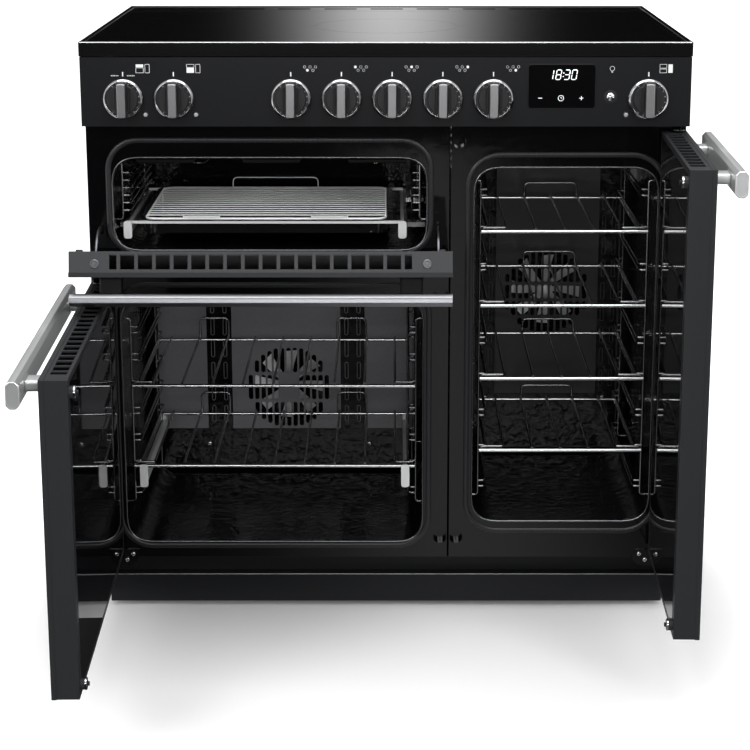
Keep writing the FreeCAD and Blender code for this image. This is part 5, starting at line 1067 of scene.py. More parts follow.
@dataclass
class PushButton:
    """Chromed push button of the oven lights, in its dark well."""

    cap_r: float = 6.4
    cap_rim: float = 1.6
    cap_dome: float = 3.3
    well: tuple[Pair, ...] = ((6.9, -0.5), (6.9, 0.35), (8.4, 0.6), (9.4, 0.35), (9.6, 0.0))

    def build(self) -> None:
        """Builds the domed cap and the well round it."""
        box = Range3.of("light_button")
        base = Vector((box.middle.x, Range3.of("control_panel").low.y, box.middle.z))
        cap = Shape()
        dome = [(self.cap_r, 0.0), (self.cap_r, self.cap_rim)]
        for step in range(1, 9):
            turn = math.pi / 2 * step / 8
            dome.append((self.cap_r * math.cos(turn),
                         self.cap_rim + self.cap_dome * math.sin(turn)))
        cap.lathe(base, -Y_AXIS, dome, 48)
        made = cap.piece("light_button_cap", CHROME_WIRE, "light_push")
        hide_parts("light_button")
        well = Shape()
        well.lathe(base, -Y_AXIS, self.well, 48)
        well.piece("light_button_well", DIAL_PLASTIC, "cooker")


# ---- hob --------------------------------------------------------------------------------------
@dataclass
class Hob:
    """Printed zone rings on the ceramic glass, and a bright steel bead along its front that draws
    the trim's edge as a painted highlight.
    """

    zones: tuple[tuple[float, float, float], ...] = (
        (-300.0, 105.0, 90.0), (-300.0, 335.0, 75.0), (0.0, 215.0, 115.0),
        (300.0, 105.0, 75.0), (300.0, 335.0, 90.0))
    line: float = 1.2
    cross: float = 12.0
    ink: float = 0.08
    bead_r: float = 1.1
    bead_in: float = 0.7
    bead_back: float = 14.0
    bead_bend: float = 3.0

    def build(self) -> None:
        """Prints a ring with four short cross lines for each zone, and lays the bead of painted
        highlight.
        """
        glass = Range3.of("hob_glass")
        face = Range3.of("front_frames").low.y
        shape = Shape(Matrix.Translation((0, 0, glass.high.z + self.ink))
                      @ Matrix.Rotation(-math.pi / 2, 4, "X"))
        for x, y, radius in self.zones:
            middle = (x, face + y)
            shape.disc(middle, radius, 0, radius - self.line, sides=96)
            for i in range(4):
                turn = math.pi / 2 * i
                way = Vector((math.cos(turn), math.sin(turn)))
                near, far = radius - self.cross, radius + self.cross
                shape.stroke((middle[0] + way.x * near, middle[1] + way.y * near),
                             (middle[0] + way.x * far, middle[1] + way.y * far), self.line, 0)
        shape.piece("hob_print", PRINT_GREY, "cooker", printed=True)
        # a bright steel bead on the black trim's front edge: painted highlight
        trim = Range3.of("hob_frame")
        y, z = trim.low.y + self.bead_in, trim.high.z - self.bead_in
        x0, x1 = trim.low.x + self.bead_in, trim.high.x - self.bead_in
        back = y + self.bead_back
        wires("hob_bead_painted_highlight", [Run([Vector((x0, back, z)), Vector((x0, y, z)), Vector((x1, y, z)),
                                Vector((x1, back, z))], self.bead_r, self.bead_bend)],
              BRIGHT_STEEL, "cooker")


# ---- oven fronts ------------------------------------------------------------------------------
@dataclass(frozen=True)
class Mouth:
    """Mouth of one cavity in the front frame and the seal round it."""

    x0: float
    x1: float
    z0: float
    z1: float
    seal_out: float
    seal_head: float
    seal_sill: float
    radius: float = 40.0
    seal_w: float = 8.5
    seal_proud: float = 2.6
    fullness: float = 0.7

    def seal(self, shape: Shape, face: float) -> None:
        """Adds the bead of the seal as a flattened half round.

        Args:
            shape: The shape it joins.
            face: Depth of the front frame's face.
        """
        out = self.seal_out + self.seal_w / 2
        x0, x1 = self.x0 - out, self.x1 + out
        z0 = self.z0 - self.seal_sill - self.seal_w / 2
        z1 = self.z1 + self.seal_head + self.seal_w / 2
        radius = self.radius + out
        rings = []
        middles = ((x1 - radius, z1 - radius), (x0 + radius, z1 - radius),
                   (x0 + radius, z0 + radius), (x1 - radius, z0 + radius))
        for corner, (mx, mz) in enumerate(middles):
            for step in range(13):
                turn = math.pi / 2 * (corner + step / 12)
                way = Vector((math.cos(turn), 0, math.sin(turn)))
                middle = Vector((mx, face, mz)) + way * radius
                ring = []
                for point in range(9):
                    lean = math.pi * point / 8
                    across = self.seal_w / 2 * math.cos(lean)
                    rise = self.seal_proud * math.sin(lean) ** self.fullness
                    ring.append(middle + way * across - Y_AXIS * rise)
                rings.append(ring)
        shape.loft(rings, looped=True)


# The grill, the wide oven and the tall oven.
MOUTHS = (Mouth(-412.5, 62.5, 588.0, 731.0, 1.5, 22.0, 1.5),
          Mouth(-407.0, 57.0, 119.0, 515.0, 4.8, 15.0, 2.0),
          Mouth(133.5, 411.5, 153.0, 716.0, 4.8, 15.0, 11.5))


@dataclass
class OvenFronts:
    """Seals round the mouths, catch cups, hinge flanges, and pale lines of painted highlight on
    the mouths' lips and the plinth's edge.
    """

    lip_r: float = 1.5
    lip_sunk: float = 0.2
    cup_r: float = 10.4
    cup_sunk: float = 0.3
    cup_deep: float = 14.0
    catches: tuple[Pair, ...] = ((84.5, 127.0), (84.5, 522.5), (109.5, 127.0), (109.5, 755.5))
    flange: tuple[Pair, ...] = ((444.0, 107.0), (398.0, 107.0), (389.5, 100.0), (389.0, 93.0),
                                (392.0, 86.5), (399.0, 81.5), (409.0, 80.0), (444.0, 80.0))
    flange_middle: Pair = (416.0, 93.5)
    flange_t: float = 1.2
    flange_off: float = 2.1
    flange_edge: float = 0.3
    flange_screws: tuple[Pair, ...] = ((398.5, 99.5), (408.0, 90.0))
    screw_r: float = 3.0
    fold_in: float = 0.3
    fold_r: float = 0.9

    def build(self) -> None:
        """Builds the pieces on the front of the cooker."""
        face = Range3.of("front_frames").low.y
        shape = Shape()
        for mouth in MOUTHS:
            mouth.seal(shape, face)
        made = shape.piece("door_seals", SEAL_FIBRE, "cooker", sharp=60)
        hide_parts("cavity_seals")
        runs = []
        # pale metal lips on the black enamel: painted highlight lines round the mouths
        for mouth in MOUTHS:
            corners = ((mouth.x0, mouth.z0), (mouth.x1, mouth.z0), (mouth.x1, mouth.z1),
                       (mouth.x0, mouth.z1))
            runs.append(Run([Vector((x, face + self.lip_sunk, z)) for x, z in corners],
                            self.lip_r, mouth.radius, closed=True))
        wires("mouth_lip_highlights", runs, LIP_PAINTED_HIGHLIGHT, "cooker")
        cups = Shape()
        for x, z in self.catches:
            cups.lathe(Vector((x, face, z)), Y_AXIS,
                       ((self.cup_r, self.cup_sunk), (self.cup_r, self.cup_deep),
                        (0.0, self.cup_deep)), 32)
        cups.piece("catch_cups", FRAME_ENAMEL, "cooker")
        self.hinge_flanges(face)
        # the plinth's fold drawn as a pale metal wire: a painted highlight
        plinth = Range3.of("plinth")
        y, z = plinth.low.y + self.fold_in, plinth.high.z - self.fold_in
        wires("plinth_edge_highlight", [Run([Vector((plinth.low.x, y, z)), Vector((plinth.high.x, y, z))],
                                  self.fold_r)], FOLD_SHEEN, "cooker")

    def hinge_flanges(self, face: float) -> None:
        """Fixes a rounded flange under each side door's lower hinge, with its screws.

        Args:
            face: Depth of the front frame's face.
        """
        plates = Shape()
        heads = []
        middle = Vector(self.flange_middle)
        back = face - self.flange_off
        front = back - self.flange_t
        for side in (-1, 1):
            rings = []
            for y, inset in ((back, 0.0), (front + self.flange_edge, 0.0),
                             (front, self.flange_edge)):
                ring = []
                for x, z in self.flange:
                    out = (Vector((x, z)) - middle).normalized() * inset
                    ring.append(Vector((side * (x - out.x), y, z - out.y)))
                rings.append(ring)
            plates.loft(rings)
            heads += [Vector((side * x, front, z)) for x, z in self.flange_screws]
        plates.piece("hinge_flanges", TRIM_PAINT, "cooker")
        Screws("hinge_screws", "cooker", self.screw_r).build(heads, -Y_AXIS, BRIGHT_STEEL)


@dataclass
class Screws:
    """Pan-head screws with a round recess, gathered into one piece."""

    name: str
    body: str
    radius: float
    head: tuple[Pair, ...] = ((1.0, 0.0), (1.0, 0.35), (0.86, 0.52), (0.5, 0.66), (0.42, 0.66),
                              (0.3, 0.3), (0.0, 0.24))

    def build(self, places: Sequence[Vector], axis: Vector, finish: Finish) -> None:
        """Builds one head at each place.

        Args:
            places: Where the heads seat.
            axis: Direction that the heads face.
            finish: Their finish.
        """
        shape = Shape()
        profile = [(across * self.radius, up * self.radius) for across, up in self.head]
        for place in places:
            shape.lathe(place, axis, profile, 20)
        shape.piece(self.name, finish, self.body, sharp=30)


# ---- oven backs -------------------------------------------------------------------------------
@dataclass
class OvenBack:
    """Dark enamelled panels, slotted columns and bolts on the front of one oven's back cover.

    The bright part of the cover lies between its left and right edge, above its lower edge.
    """

    name: str
    x0: float
    x1: float
    z0: float
    bright: tuple[float, float, float]
    column_w: float
    top: float
    bolts: tuple[Pair, ...]
    thick: float = 0.7
    stand_off: float = 0.05
    edge: float = 0.3
    bolt_r: float = 4.6
    slot: Pair = (5.5, 30.0)
    slot_point: float = 2.0
    slot_gap: float = 9.0
    slot_ends: Pair = (12.0, 8.0)
    rim: float = 0.9
    rim_proud: float = 0.1

    def build(self) -> None:
        """Builds the dark panels, the rims of their slots and the bolts."""
        back = Range3.of("fan_covers").low.y
        y0, y1 = back - self.thick, back - self.stand_off
        left, right, low = self.bright
        panels = Shape()
        for x0, x1, z0, z1 in ((self.x0, self.x1, self.z0, low),
                               (left - self.column_w, left, low, self.top),
                               (right, right + self.column_w, low, self.top)):
            panels.block(Vector((x0, y0, z0)), Vector((x1, y1, z1)), self.edge)
        panels.piece(f"back_panels_{self.name}", CAVITY_ENAMEL, "cooker")
        rims = Shape()
        wide, tall = self.slot
        point = self.slot_point
        for middle in (left - self.column_w / 2, right + self.column_w / 2):
            for aside in (-self.column_w / 4, self.column_w / 4):
                z = low + self.slot_ends[0]
                while z + tall < self.top - self.slot_ends[1]:
                    x = middle + aside
                    rims.outline([(x - wide / 2, z + point), (x, z), (x + wide / 2, z + point),
                                  (x + wide / 2, z + tall - point), (x, z + tall),
                                  (x - wide / 2, z + tall - point)],
                                 self.rim, y0 - self.rim_proud)
                    z += tall + self.slot_gap
        rims.piece(f"back_slots_{self.name}", COVER_ENAMEL, "cooker", printed=True)
        Screws(f"back_bolts_{self.name}", "cooker", self.bolt_r).build(
            [Vector((x, y0, z)) for x, z in self.bolts], -Y_AXIS, BRIGHT_STEEL)


OVEN_BACKS = (OvenBack("left", -393.0, 43.0, 127.0, (-269.0, -80.0, 193.0), 42.0,
                       440.0, ((-310.0, 165.0), (-30.0, 165.0))),
              OvenBack("right", 147.0, 398.0, 161.0, (187.0, 362.0, 257.0), 34.0,
                       655.0, ((171.0, 249.0), (375.0, 249.0))))


@dataclass
class Fan:
    """Stamped fan wheel: broad bright blades with dark gaps between them."""

    side: str
    blades: int = 8
    reach: Pair = (13.0, 60.0)
    chord: Pair = (11.0, 22.0)
    pitch: float = 32.0
    untwist: float = 0.45
    sweep: float = 5.0
    gauge: float = 1.2
    hub_in: float = 10.0
    hub: tuple[Pair, ...] = ((0.0, 0.5), (5.0, 0.5), (9.0, 1.5), (14.0, 6.0), (14.0, 14.0),
                             (4.0, 16.0), (4.0, 48.0), (0.0, 48.0))

    def build(self) -> None:
        """Builds the wheel in place of its CAD node."""
        box = Range3.of(f"fan_{self.side}")
        hub = Vector((box.middle.x, box.low.y + self.hub_in, box.middle.z))
        wheel = Shape()
        for i in range(self.blades):
            turn = 2 * math.pi * i / self.blades
            out = Vector((math.sin(turn), 0, math.cos(turn)))
            around = Vector((math.cos(turn), 0, -math.sin(turn)))
            rings = []
            for step in range(5):
                t = step / 4
                radius = self.reach[0] + (self.reach[1] - self.reach[0]) * t
                lean = math.radians(self.pitch * (1 - self.untwist * t))
                across = around * math.cos(lean) + Y_AXIS * math.sin(lean)
                through = Y_AXIS * math.cos(lean) - around * math.sin(lean)
                half = (self.chord[0] + (self.chord[1] - self.chord[0]) * t) / 2
                middle = hub + out * radius + around * (self.sweep * t * t)
                rings.append([middle - across * half, middle + across * half,
                              middle + across * half + through * self.gauge,
                              middle - across * half + through * self.gauge])
            wheel.loft(rings)
        wheel.lathe(Vector((hub.x, box.low.y, hub.z)), Y_AXIS, self.hub, 32)
        made = wheel.piece(f"fan_wheel_{self.side}", FAN_STEEL, f"{self.side}_fan", sharp=40)
        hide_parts(f"fan_{self.side}")


# ---- wire ladders and shelves -----------------------------------------------------------------
@dataclass(frozen=True)
class Walls:
    """Inner walls of a liner."""

    left: float
    right: float
    roof: float
    floor: float
    corner: float = 41.8

    @classmethod
    def of(cls, node: str, flange: float = 9.2) -> Walls:
        """Reads them from the liner's box, inside its flange."""
        box = Range3.of(node)
        return cls(box.low.x + flange, box.high.x - flange, box.high.z - flange,
                   box.low.z + flange)

    def at(self, side: int, distance: float) -> float:
        """X at a distance inside the left (-1) or right (1) wall."""
        return self.left + distance if side < 0 else self.right - distance

    def curve_in(self, z: float) -> float:
        """How far the round corner of the liner comes in from the wall at a height."""
        past = max(z - (self.roof - self.corner), self.floor + self.corner - z, 0.0)
        return self.corner - math.sqrt(max(self.corner ** 2 - past ** 2, 0.0))


@dataclass(frozen=True)
class Rungs:
    """Rungs of the two ladders in one cavity, single or in pairs, and their reach to the back."""

    liner: str
    first: float
    pitch: float
    count: int
    back: float
    pair: tuple[float, ...] = (0.0,)

    def heights(self) -> list[float]:
        """Height of every rung, from the lowest up."""
        return [self.first + self.pitch * i + up for i in range(self.count)
                for up in self.pair]


RUNGS = (Rungs("grill_liner", 645.0, 11.6, 6, 300.0),
         Rungs("oven_liner_left", 195.5, 43.5, 7, 336.0, (-4.7, 4.7)),
         Rungs("oven_liner_right", 206.3, 58.3, 9, 336.0, (-4.7, 4.7)))


@dataclass
class Ladders:
    """Wire ladders on the walls of the cavities, and the wire loops on the grill's roof."""

    upright_in: float = 12.5
    rung_in: float = 24.0
    upright_r: float = 2.0
    rung_r: float = 1.7
    front: float = 28.0
    past: float = 14.0
    bend: float = 6.0
    loops: Pair = (-311.0, -18.0)
    loop_half: float = 18.0
    loop_back: float = 300.0
    loop_z: Pair = (724.0, 672.0)
    loop_r: float = 1.2
    loop_bend: float = 17.0

    def build(self) -> None:
        """Builds every ladder as one piece, and the loops as another."""
        face = Range3.of("front_frames").low.y
        runs: list[Run] = []
        for side in (-1, 1):
            for rungs in RUNGS:
                runs += self.ladder(rungs, side, face)
        made = wires("wire_ladders", runs, CHROME_PAINTED_SHADE, "cooker")
        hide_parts("shelf_supports")
        y, (top, foot) = face + self.loop_back, self.loop_z
        runs = []
        for x in self.loops:
            x0, x1 = x - self.loop_half, x + self.loop_half
            runs.append(Run([Vector((x0, y, top)), Vector((x0, y, foot)),
                             Vector((x1, y, foot)), Vector((x1, y, top))],
                            self.loop_r, self.loop_bend))
        wires("grill_roof_loops", runs, CHROME_PAINTED_SHADE, "cooker")

    def ladder(self, rungs: Rungs, side: int, face: float) -> list[Run]:
        """Draws one ladder.

        Args:
            rungs: Its rungs, with the cavity and the reach.
            side: -1 for the left wall and 1 for the right.
            face: Depth of the front frame's face.

        Returns:
            Its wires.
        """
        walls = Walls.of(rungs.liner)
        heights = rungs.heights()
        upright = walls.at(side, self.upright_in)
        rung = walls.at(side, self.rung_in)
        low, high = heights[0] - self.past, heights[-1] + self.past
        foot = walls.at(side, walls.curve_in(low))
        head = walls.at(side, walls.curve_in(high))
        y0, y1 = face + self.front, face + rungs.back
        runs = []
        for y in (y0, y1):
            runs.append(Run([Vector((foot, y, low)), Vector((upright, y, low)),
                             Vector((upright, y, high)), Vector((head, y, high))],
                            self.upright_r, self.bend))
        for z in heights:
            runs.append(Run([Vector((upright, y0, z)), Vector((rung, y0, z)),
                             Vector((rung, y1, z)), Vector((upright, y1, z))],
                            self.rung_r, self.bend))
        return runs


@dataclass
class FixedRails:
    """Fixed halves of the drawer rails: rolled channels on clips in the oven, struts above."""

    reach: Pair = (14.0, 320.0)
    gauge: float = 0.9
    lip: float = 4.5
    oven_in: Pair = (22.0, 26.0)
    oven_z: Pair = (206.0, 230.0)
    clips: Pair = (56.0, 292.0)
    clip_z: Pair = (202.2, 232.3)
    clip_w: float = 8.0
    clip_edge: float = 0.6
    grill_middle: float = -184.0
    grill_half: float = 211.9
    grill_w: float = 4.0
    grill_z: Pair = (608.0, 626.0)
    struts: Pair = (56.0, 264.0)
    strut_z: Pair = (613.0, 621.0)
    strut_w: float = 20.0
    strut_off: float = 0.4
    strut_edge: float = 0.5

    def build(self) -> None:
        """Builds the four channels with their clips and struts as one piece."""
        face = Range3.of("front_frames").low.y
        left = Walls.of("oven_liner_left")
        grill = Walls.of("grill_liner")
        shape = Shape()
        ends = (face + self.reach[0], face + self.reach[1])
        for side in (-1, 1):
            xs = sorted(left.at(side, distance) for distance in self.oven_in)
            self.channel(shape, xs, side, self.oven_z, ends)
            low, high = self.clip_z
            for y in (face + self.clips[0], face + self.clips[1]):
                shape.block(Vector((xs[0], y, low)), Vector((xs[1], y + self.clip_w, high)),
                            self.clip_edge)
            near = self.grill_middle + side * self.grill_half
            xs = sorted((near, near + side * self.grill_w))
            self.channel(shape, xs, side, self.grill_z, ends)
            low, high = self.strut_z
            wall = grill.at(side, grill.curve_in(low) + self.strut_off)
            reach = sorted((wall, xs[0] if side > 0 else xs[1]))
            for y in (face + self.struts[0], face + self.struts[1]):
                shape.block(Vector((reach[0], y, low)),
                            Vector((reach[1], y + self.strut_w, high)), self.strut_edge)
        shape.piece("rails_fixed", BRIGHT_STEEL, "cooker")

    def channel(self, shape: Shape, xs: Sequence[float], side: int, heights: Pair,
                ends: Pair) -> None:
        """Adds a rolled channel, open towards the middle of the cavity.

        Args:
            shape: The shape it joins.
            xs: Its least and greatest X.
            side: -1 for a rail on the left and 1 for one on the right.
            heights: Its lowest and highest Z.
            ends: Depths of its front and rear end.
        """
        inner, outer = (xs[0], xs[1]) if side > 0 else (xs[1], xs[0])
        low, high = heights
        gauge, lip = self.gauge, self.lip
        wall = gauge * side
        outline = [(inner, low), (outer, low), (outer, high), (inner, high),
                   (inner, high - lip), (inner + wall, high - lip),
                   (inner + wall, high - gauge), (outer - wall, high - gauge),
                   (outer - wall, low + gauge), (inner + wall, low + gauge),
                   (inner + wall, low + lip), (inner, low + lip)]
        shape.loft([[Vector((x, y, z)) for x, z in outline] for y in ends])


@dataclass
class WireShelf:
    """Chromed wire shelf: round rails, straight wires, hooked side wires and rear stops.

    Each loop is a rear stop: how far it stands aside, its width and its height.
    """

    node: str
    body: str
    liner: str
    count: int
    pitch: float
    loops: tuple[tuple[float, float, float], ...]
    front_r: float = 3.0
    side_r: float = 2.4
    rear_r: float = 2.5
    wire_r: float = 2.0
    weld: float = 0.5
    hook_back: float = 6.5
    hook_in: float = 17.0
    hook_bend: float = 5.0
    loop_bend: float = 9.0
    rung_in: float = 24.0
    end_in: float = 14.0

    def build(self) -> None:
        """Builds the shelf in place of its CAD node."""
        box = Range3.of(self.node)
        walls = Walls.of(self.liner)
        middle = (walls.left + walls.right) / 2
        front = box.low.y + self.front_r
        rear = box.high.y - self.rear_r
        z = box.low.z + self.front_r
        rear_z = z + self.front_r - self.rear_r
        wire_z = z + self.front_r + self.wire_r - self.weld
        sides = (walls.at(-1, self.rung_in), walls.at(1, self.rung_in))
        ends = (walls.at(-1, self.end_in), walls.at(1, self.end_in))
        runs = [Run([Vector((ends[0], front, z)), Vector((ends[1], front, z))], self.front_r),
                Run([Vector((sides[0], rear, rear_z)), Vector((sides[1], rear, rear_z))],
                    self.rear_r)]
        made = wires(f"{self.node}_rails", runs, CHROME_WIRE, self.body)
        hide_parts(self.node)
        runs = [Run([Vector((x, front, z)), Vector((x, rear, z))], self.side_r) for x in sides]
        y0 = front - self.front_r + self.weld
        y1 = rear + self.rear_r - self.weld
        for i in range(self.count):
            x = middle + (i - (self.count - 1) / 2) * self.pitch
            runs.append(Run([Vector((x, y0, wire_z)), Vector((x, y1, wire_z))], self.wire_r))
        turn_y = front + self.hook_back
        for side in (-1, 1):
            x = middle + side * (self.count + 1) / 2 * self.pitch
            end = walls.at(side, self.hook_in)
            runs.append(Run([Vector((x, y1, wire_z)), Vector((x, turn_y, wire_z)),
                             Vector((end, turn_y, wire_z)), Vector((end, turn_y, z))],
                            self.wire_r, self.hook_bend))
        for aside, width, height in self.loops:
            x, half = middle + aside, width / 2
            runs.append(Run([Vector((x - half, rear, rear_z)),
                             Vector((x - half, rear, rear_z + height)),
                             Vector((x + half, rear, rear_z + height)),
                             Vector((x + half, rear, rear_z))], self.wire_r,
                            self.loop_bend))
        wires(f"{self.node}_wires", runs, CHROME_PAINTED_SHADE, self.body)


def shelves() -> list[WireShelf]:
    """Lists the shelves: four in the tall oven, and two in the wide one.

    Returns:
        The six shelves.
    """
    stop = ((0.0, 86.0, 25.0),)
    stops = ((-116.0, 48.0, 38.0), (116.0, 48.0, 38.0))
    made = [WireShelf(f"shelf_right_{level}", f"right_shelf_{level}", "oven_liner_right", 3,
                      44.0, stop) for level in range(1, 5)]
    for node, body in (("shelf_left_lower", "left_glide"),
                       ("shelf_left_upper", "left_plain_shelf")):
        made.append(WireShelf(node, body, "oven_liner_left", 7, 47.2, stops))
    return made


@dataclass
class Trivet:
    """Wire trivet in the grill pan: a frame with legs, cross wires, two tabs and a rear rail."""

    middle: float = -184.0
    half: float = 184.0
    front: float = 28.0
    depth: float = 266.0
    level: float = 634.0
    wire_r: float = 0.95
    frame_r: float = 1.8
    count: int = 14
    corner: float = 19.0
    weld: float = 0.5
    leg_in: float = 34.0
    foot: float = 1.0
    tabs: Pair = (-98.0, 98.0)
    tab_half: float = 27.5
    tab_out: float = 7.0
    tab_up: float = 2.0
    tab_bend: float = 3.0
    rear_half: float = 70.5
    rear_up: float = 15.0
    rear_bend: float = 9.0

    def build(self) -> None:
        """Builds the trivet in place of its CAD node."""
        face = Range3.of("front_frames").low.y
        y0, y1 = face + self.front, face + self.front + self.depth
        frame_z = self.level - self.wire_r - self.frame_r + self.weld
        x0, x1 = self.middle - self.half, self.middle + self.half
        runs = [Run([Vector((x0, y0, frame_z)), Vector((x1, y0, frame_z)),
                     Vector((x1, y1, frame_z)), Vector((x0, y1, frame_z))],
                    self.frame_r, self.corner, closed=True)]
        pitch = self.depth / (self.count + 1)
        for i in range(1, self.count + 1):
            y = y0 + i * pitch
            runs.append(Run([Vector((x0, y, self.level)), Vector((x1, y, self.level))],
                            self.wire_r))
        floor = Range3.of("grill_trivet").low.z
        for x in (x0, x1):
            for y in (y0 + self.leg_in, y1 - self.leg_in):
                runs.append(Run([Vector((x, y, floor + self.foot)), Vector((x, y, frame_z))],
                                self.wire_r))
        out, top = y0 - self.tab_out, self.level + self.tab_up
        for aside in self.tabs:
            a, b = self.middle + aside - self.tab_half, self.middle + aside + self.tab_half
            runs.append(Run([Vector((a, y0, frame_z)), Vector((a, y0, top)),
                             Vector((a, out, top)), Vector((b, out, top)),
                             Vector((b, y0, top)), Vector((b, y0, frame_z))],
                            self.wire_r, self.tab_bend))
        a, b = self.middle - self.rear_half, self.middle + self.rear_half
        top = self.level + self.rear_up
        runs.append(Run([Vector((a, y1, frame_z)), Vector((a, y1, top)),
                         Vector((b, y1, top)), Vector((b, y1, frame_z))],
                        self.wire_r, self.rear_bend))
        made = wires("grill_trivet_wires", runs, TRIVET_PAINTED_SHEEN, "trivet")
        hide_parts("grill_trivet")


# ---- doors ------------------------------------------------------------------------------------
@dataclass(frozen=True)
class Leaf:
    """A door: its body, its sides and top when shut, and the turn to its stored opening."""

    name: str
    body: str
    x0: float
    x1: float
    top: float
    pivot: Vector
    axis: str
    degrees: float

    @property
    def swing(self) -> Matrix:
        """The turn about its hinge pin, in millimetres."""
        return (Matrix.Translation(self.pivot)
                @ Matrix.Rotation(math.radians(self.degrees), 4, self.axis)
                @ Matrix.Translation(-self.pivot))


def leaves() -> list[Leaf]:
    """Lists the three doors, their pins placed from the front frame's face.

    Returns:
        The left, the right and the grill door.
    """
    face = Range3.of("front_frames").low.y
    return [Leaf("left", "left_door", -448.0, 95.5, 541.0,
                 Vector((-434.0, face - 26.0, 0)), "Z", -88.5),
            Leaf("right", "right_door", 98.5, 448.0, 774.0,
                 Vector((434.0, face - 26.0, 0)), "Z", 88.5),
            Leaf("grill", "grill_door", -448.0, 95.5, 774.0,
                 Vector((0, face - 18.0, 574.0)), "X", 77.5)]


@dataclass
class Handle:
    """Aluminium bar handle on two posts."""

    leaf: Leaf
    node: str
    height: float = 36.0
    depth: float = 18.0
    chamfer: float = 5.0
    chamfer_loss: float = 0.4
    ease: float = 2.2
    ends: tuple[Pair, ...] = ((0.5, 2.6), (0.5, 2.4), (0.0, 2.2), (0.0, 0.9), (0.7, 0.0))
    standoff: float = 41.5
    down: float = 20.0
    door_t: float = 40.0
    post_w: float = 35.0
    post_h: float = 18.0
    post_in: float = 58.5
    post_corner: float = 4.0
    post_sunk: float = 0.3
    flare: float = 1.6
    foot: float = 1.4
    foot_steps: Pair = (2.6, 0.9)
    post: Finish = HANDLE_ALUMINIUM
    bar: Finish = HANDLE_ALUMINIUM

    def section(self, inset: float, x: float, outer: float, middle: float) -> list[Vector]:
        """Outline of the bar: flat faces and chamfers, with their edges eased.

        Args:
            inset: How far the outline is drawn in.
            x: Place along the bar.
            outer: Depth of its outer face.
            middle: Height of its middle.

        Returns:
            The points of the outline.
        """
        y0, y1 = outer + inset, outer + self.depth - inset
        z0, z1 = middle - self.height / 2 + inset, middle + self.height / 2 - inset
        cut = self.chamfer - inset * self.chamfer_loss
        corners = [Vector((x, y, z)) for y, z in (
            (y0 + cut, z0), (y1 - cut, z0), (y1, z0 + cut), (y1, z1 - cut),
            (y1 - cut, z1), (y0 + cut, z1), (y0, z1 - cut), (y0, z0 + cut))]
        return corner_path(corners, self.ease, closed=True)

    def build(self) -> None:
        """Builds the bar and its posts in place of the CAD node."""
        leaf = self.leaf
        face = Range3.of("front_frames").low.y - self.door_t
        outer = face - self.standoff
        middle = leaf.top - self.down
        shape = Shape(leaf.swing)
        places = [(leaf.x0 + along, inset) for along, inset in self.ends]
        places += [(leaf.x1 - along, inset) for along, inset in reversed(self.ends)]
        shape.loft([self.section(inset, x, outer, middle) for x, inset in places])
        made = shape.piece(f"handle_{leaf.name}", self.bar, leaf.body, sharp=24)
        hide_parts(self.node)
        shape = Shape(leaf.swing)
        inner = outer + self.depth
        for x in (leaf.x0 + self.post_in, leaf.x1 - self.post_in):
            rings = []
            for y, grow in ((inner - self.post_sunk, self.flare), (inner + self.flare, 0.0),
                            (face - self.foot_steps[0], 0.0),
                            (face - self.foot_steps[1], self.foot), (face, self.foot)):
                w = self.post_w / 2 + grow - self.flare
                h = self.post_h / 2 + grow - self.flare
                ring = [Vector((x - w, y, middle - h)), Vector((x + w, y, middle - h)),
                        Vector((x + w, y, middle + h)), Vector((x - w, y, middle + h))]
                rings.append(corner_path(ring, self.post_corner, closed=True))
            shape.loft(rings)
        shape.piece(f"handle_posts_{leaf.name}", self.post, leaf.body, sharp=28)


@dataclass
class DoorFittings:
    """Bright bands on the catches of the side doors, and the end screws of the grill door."""

    band_r: float = 8.3
    band: Pair = (3.2, 6.0)
    band_ease: Pair = (0.5, 0.4)
    screw_r: float = 6.6
    screw_in: float = 21.0
    screw_sunk: float = 0.7
    screw_steps: tuple[Pair, ...] = ((0.0, 0.0), (0.0, 0.7), (0.8, 1.3), (2.4, 1.3), (2.8, 0.3),
                                     (6.6, 0.2))
    end_screws: Pair = (-411.0, 59.0)

    def build(self) -> None:
        """Builds the bands on both side doors and the screws of the grill door."""
        face = Range3.of("front_frames").low.y
        left, right, grill = leaves()
        near, far = self.band
        inward, along = self.band_ease
        for leaf, places in ((left, OvenFronts.catches[:2]), (right, OvenFronts.catches[2:])):
            shape = Shape(leaf.swing)
            for x, z in places:
                shape.lathe(Vector((x, face, z)), Y_AXIS,
                            ((self.band_r - inward, near), (self.band_r, near + along),
                             (self.band_r, far - along), (self.band_r - inward, far)), 32)
            shape.piece(f"catch_bands_{leaf.name}", CHROME_WIRE, leaf.body)
        shape = Shape(grill.swing)
        head = [(self.screw_r - drawn_in, up) for drawn_in, up in self.screw_steps]
        for x in self.end_screws:
            shape.lathe(Vector((x, face - self.screw_in, grill.top - self.screw_sunk)), Z_AXIS,
                        head, 32)
        shape.piece("grill_door_screws", ZINC_STAY, grill.body, sharp=30)


# ---- studio -----------------------------------------------------------------------------------
@dataclass(frozen=True)
class Flag:
    """A dark card with a paler bell of light across it; its sizes are metres."""

    name: str
    middle: tuple[float, float, float]
    width: float
    height: float
    tilt: float
    edge: float
    centre: float
    aside: float
    spread: float


@dataclass(frozen=True)
class Lamp:
    """A soft rectangular lamp: place and size in metres, and power in watts."""

    name: str
    place: tuple[float, float, float]
    size: Pair
    power: float


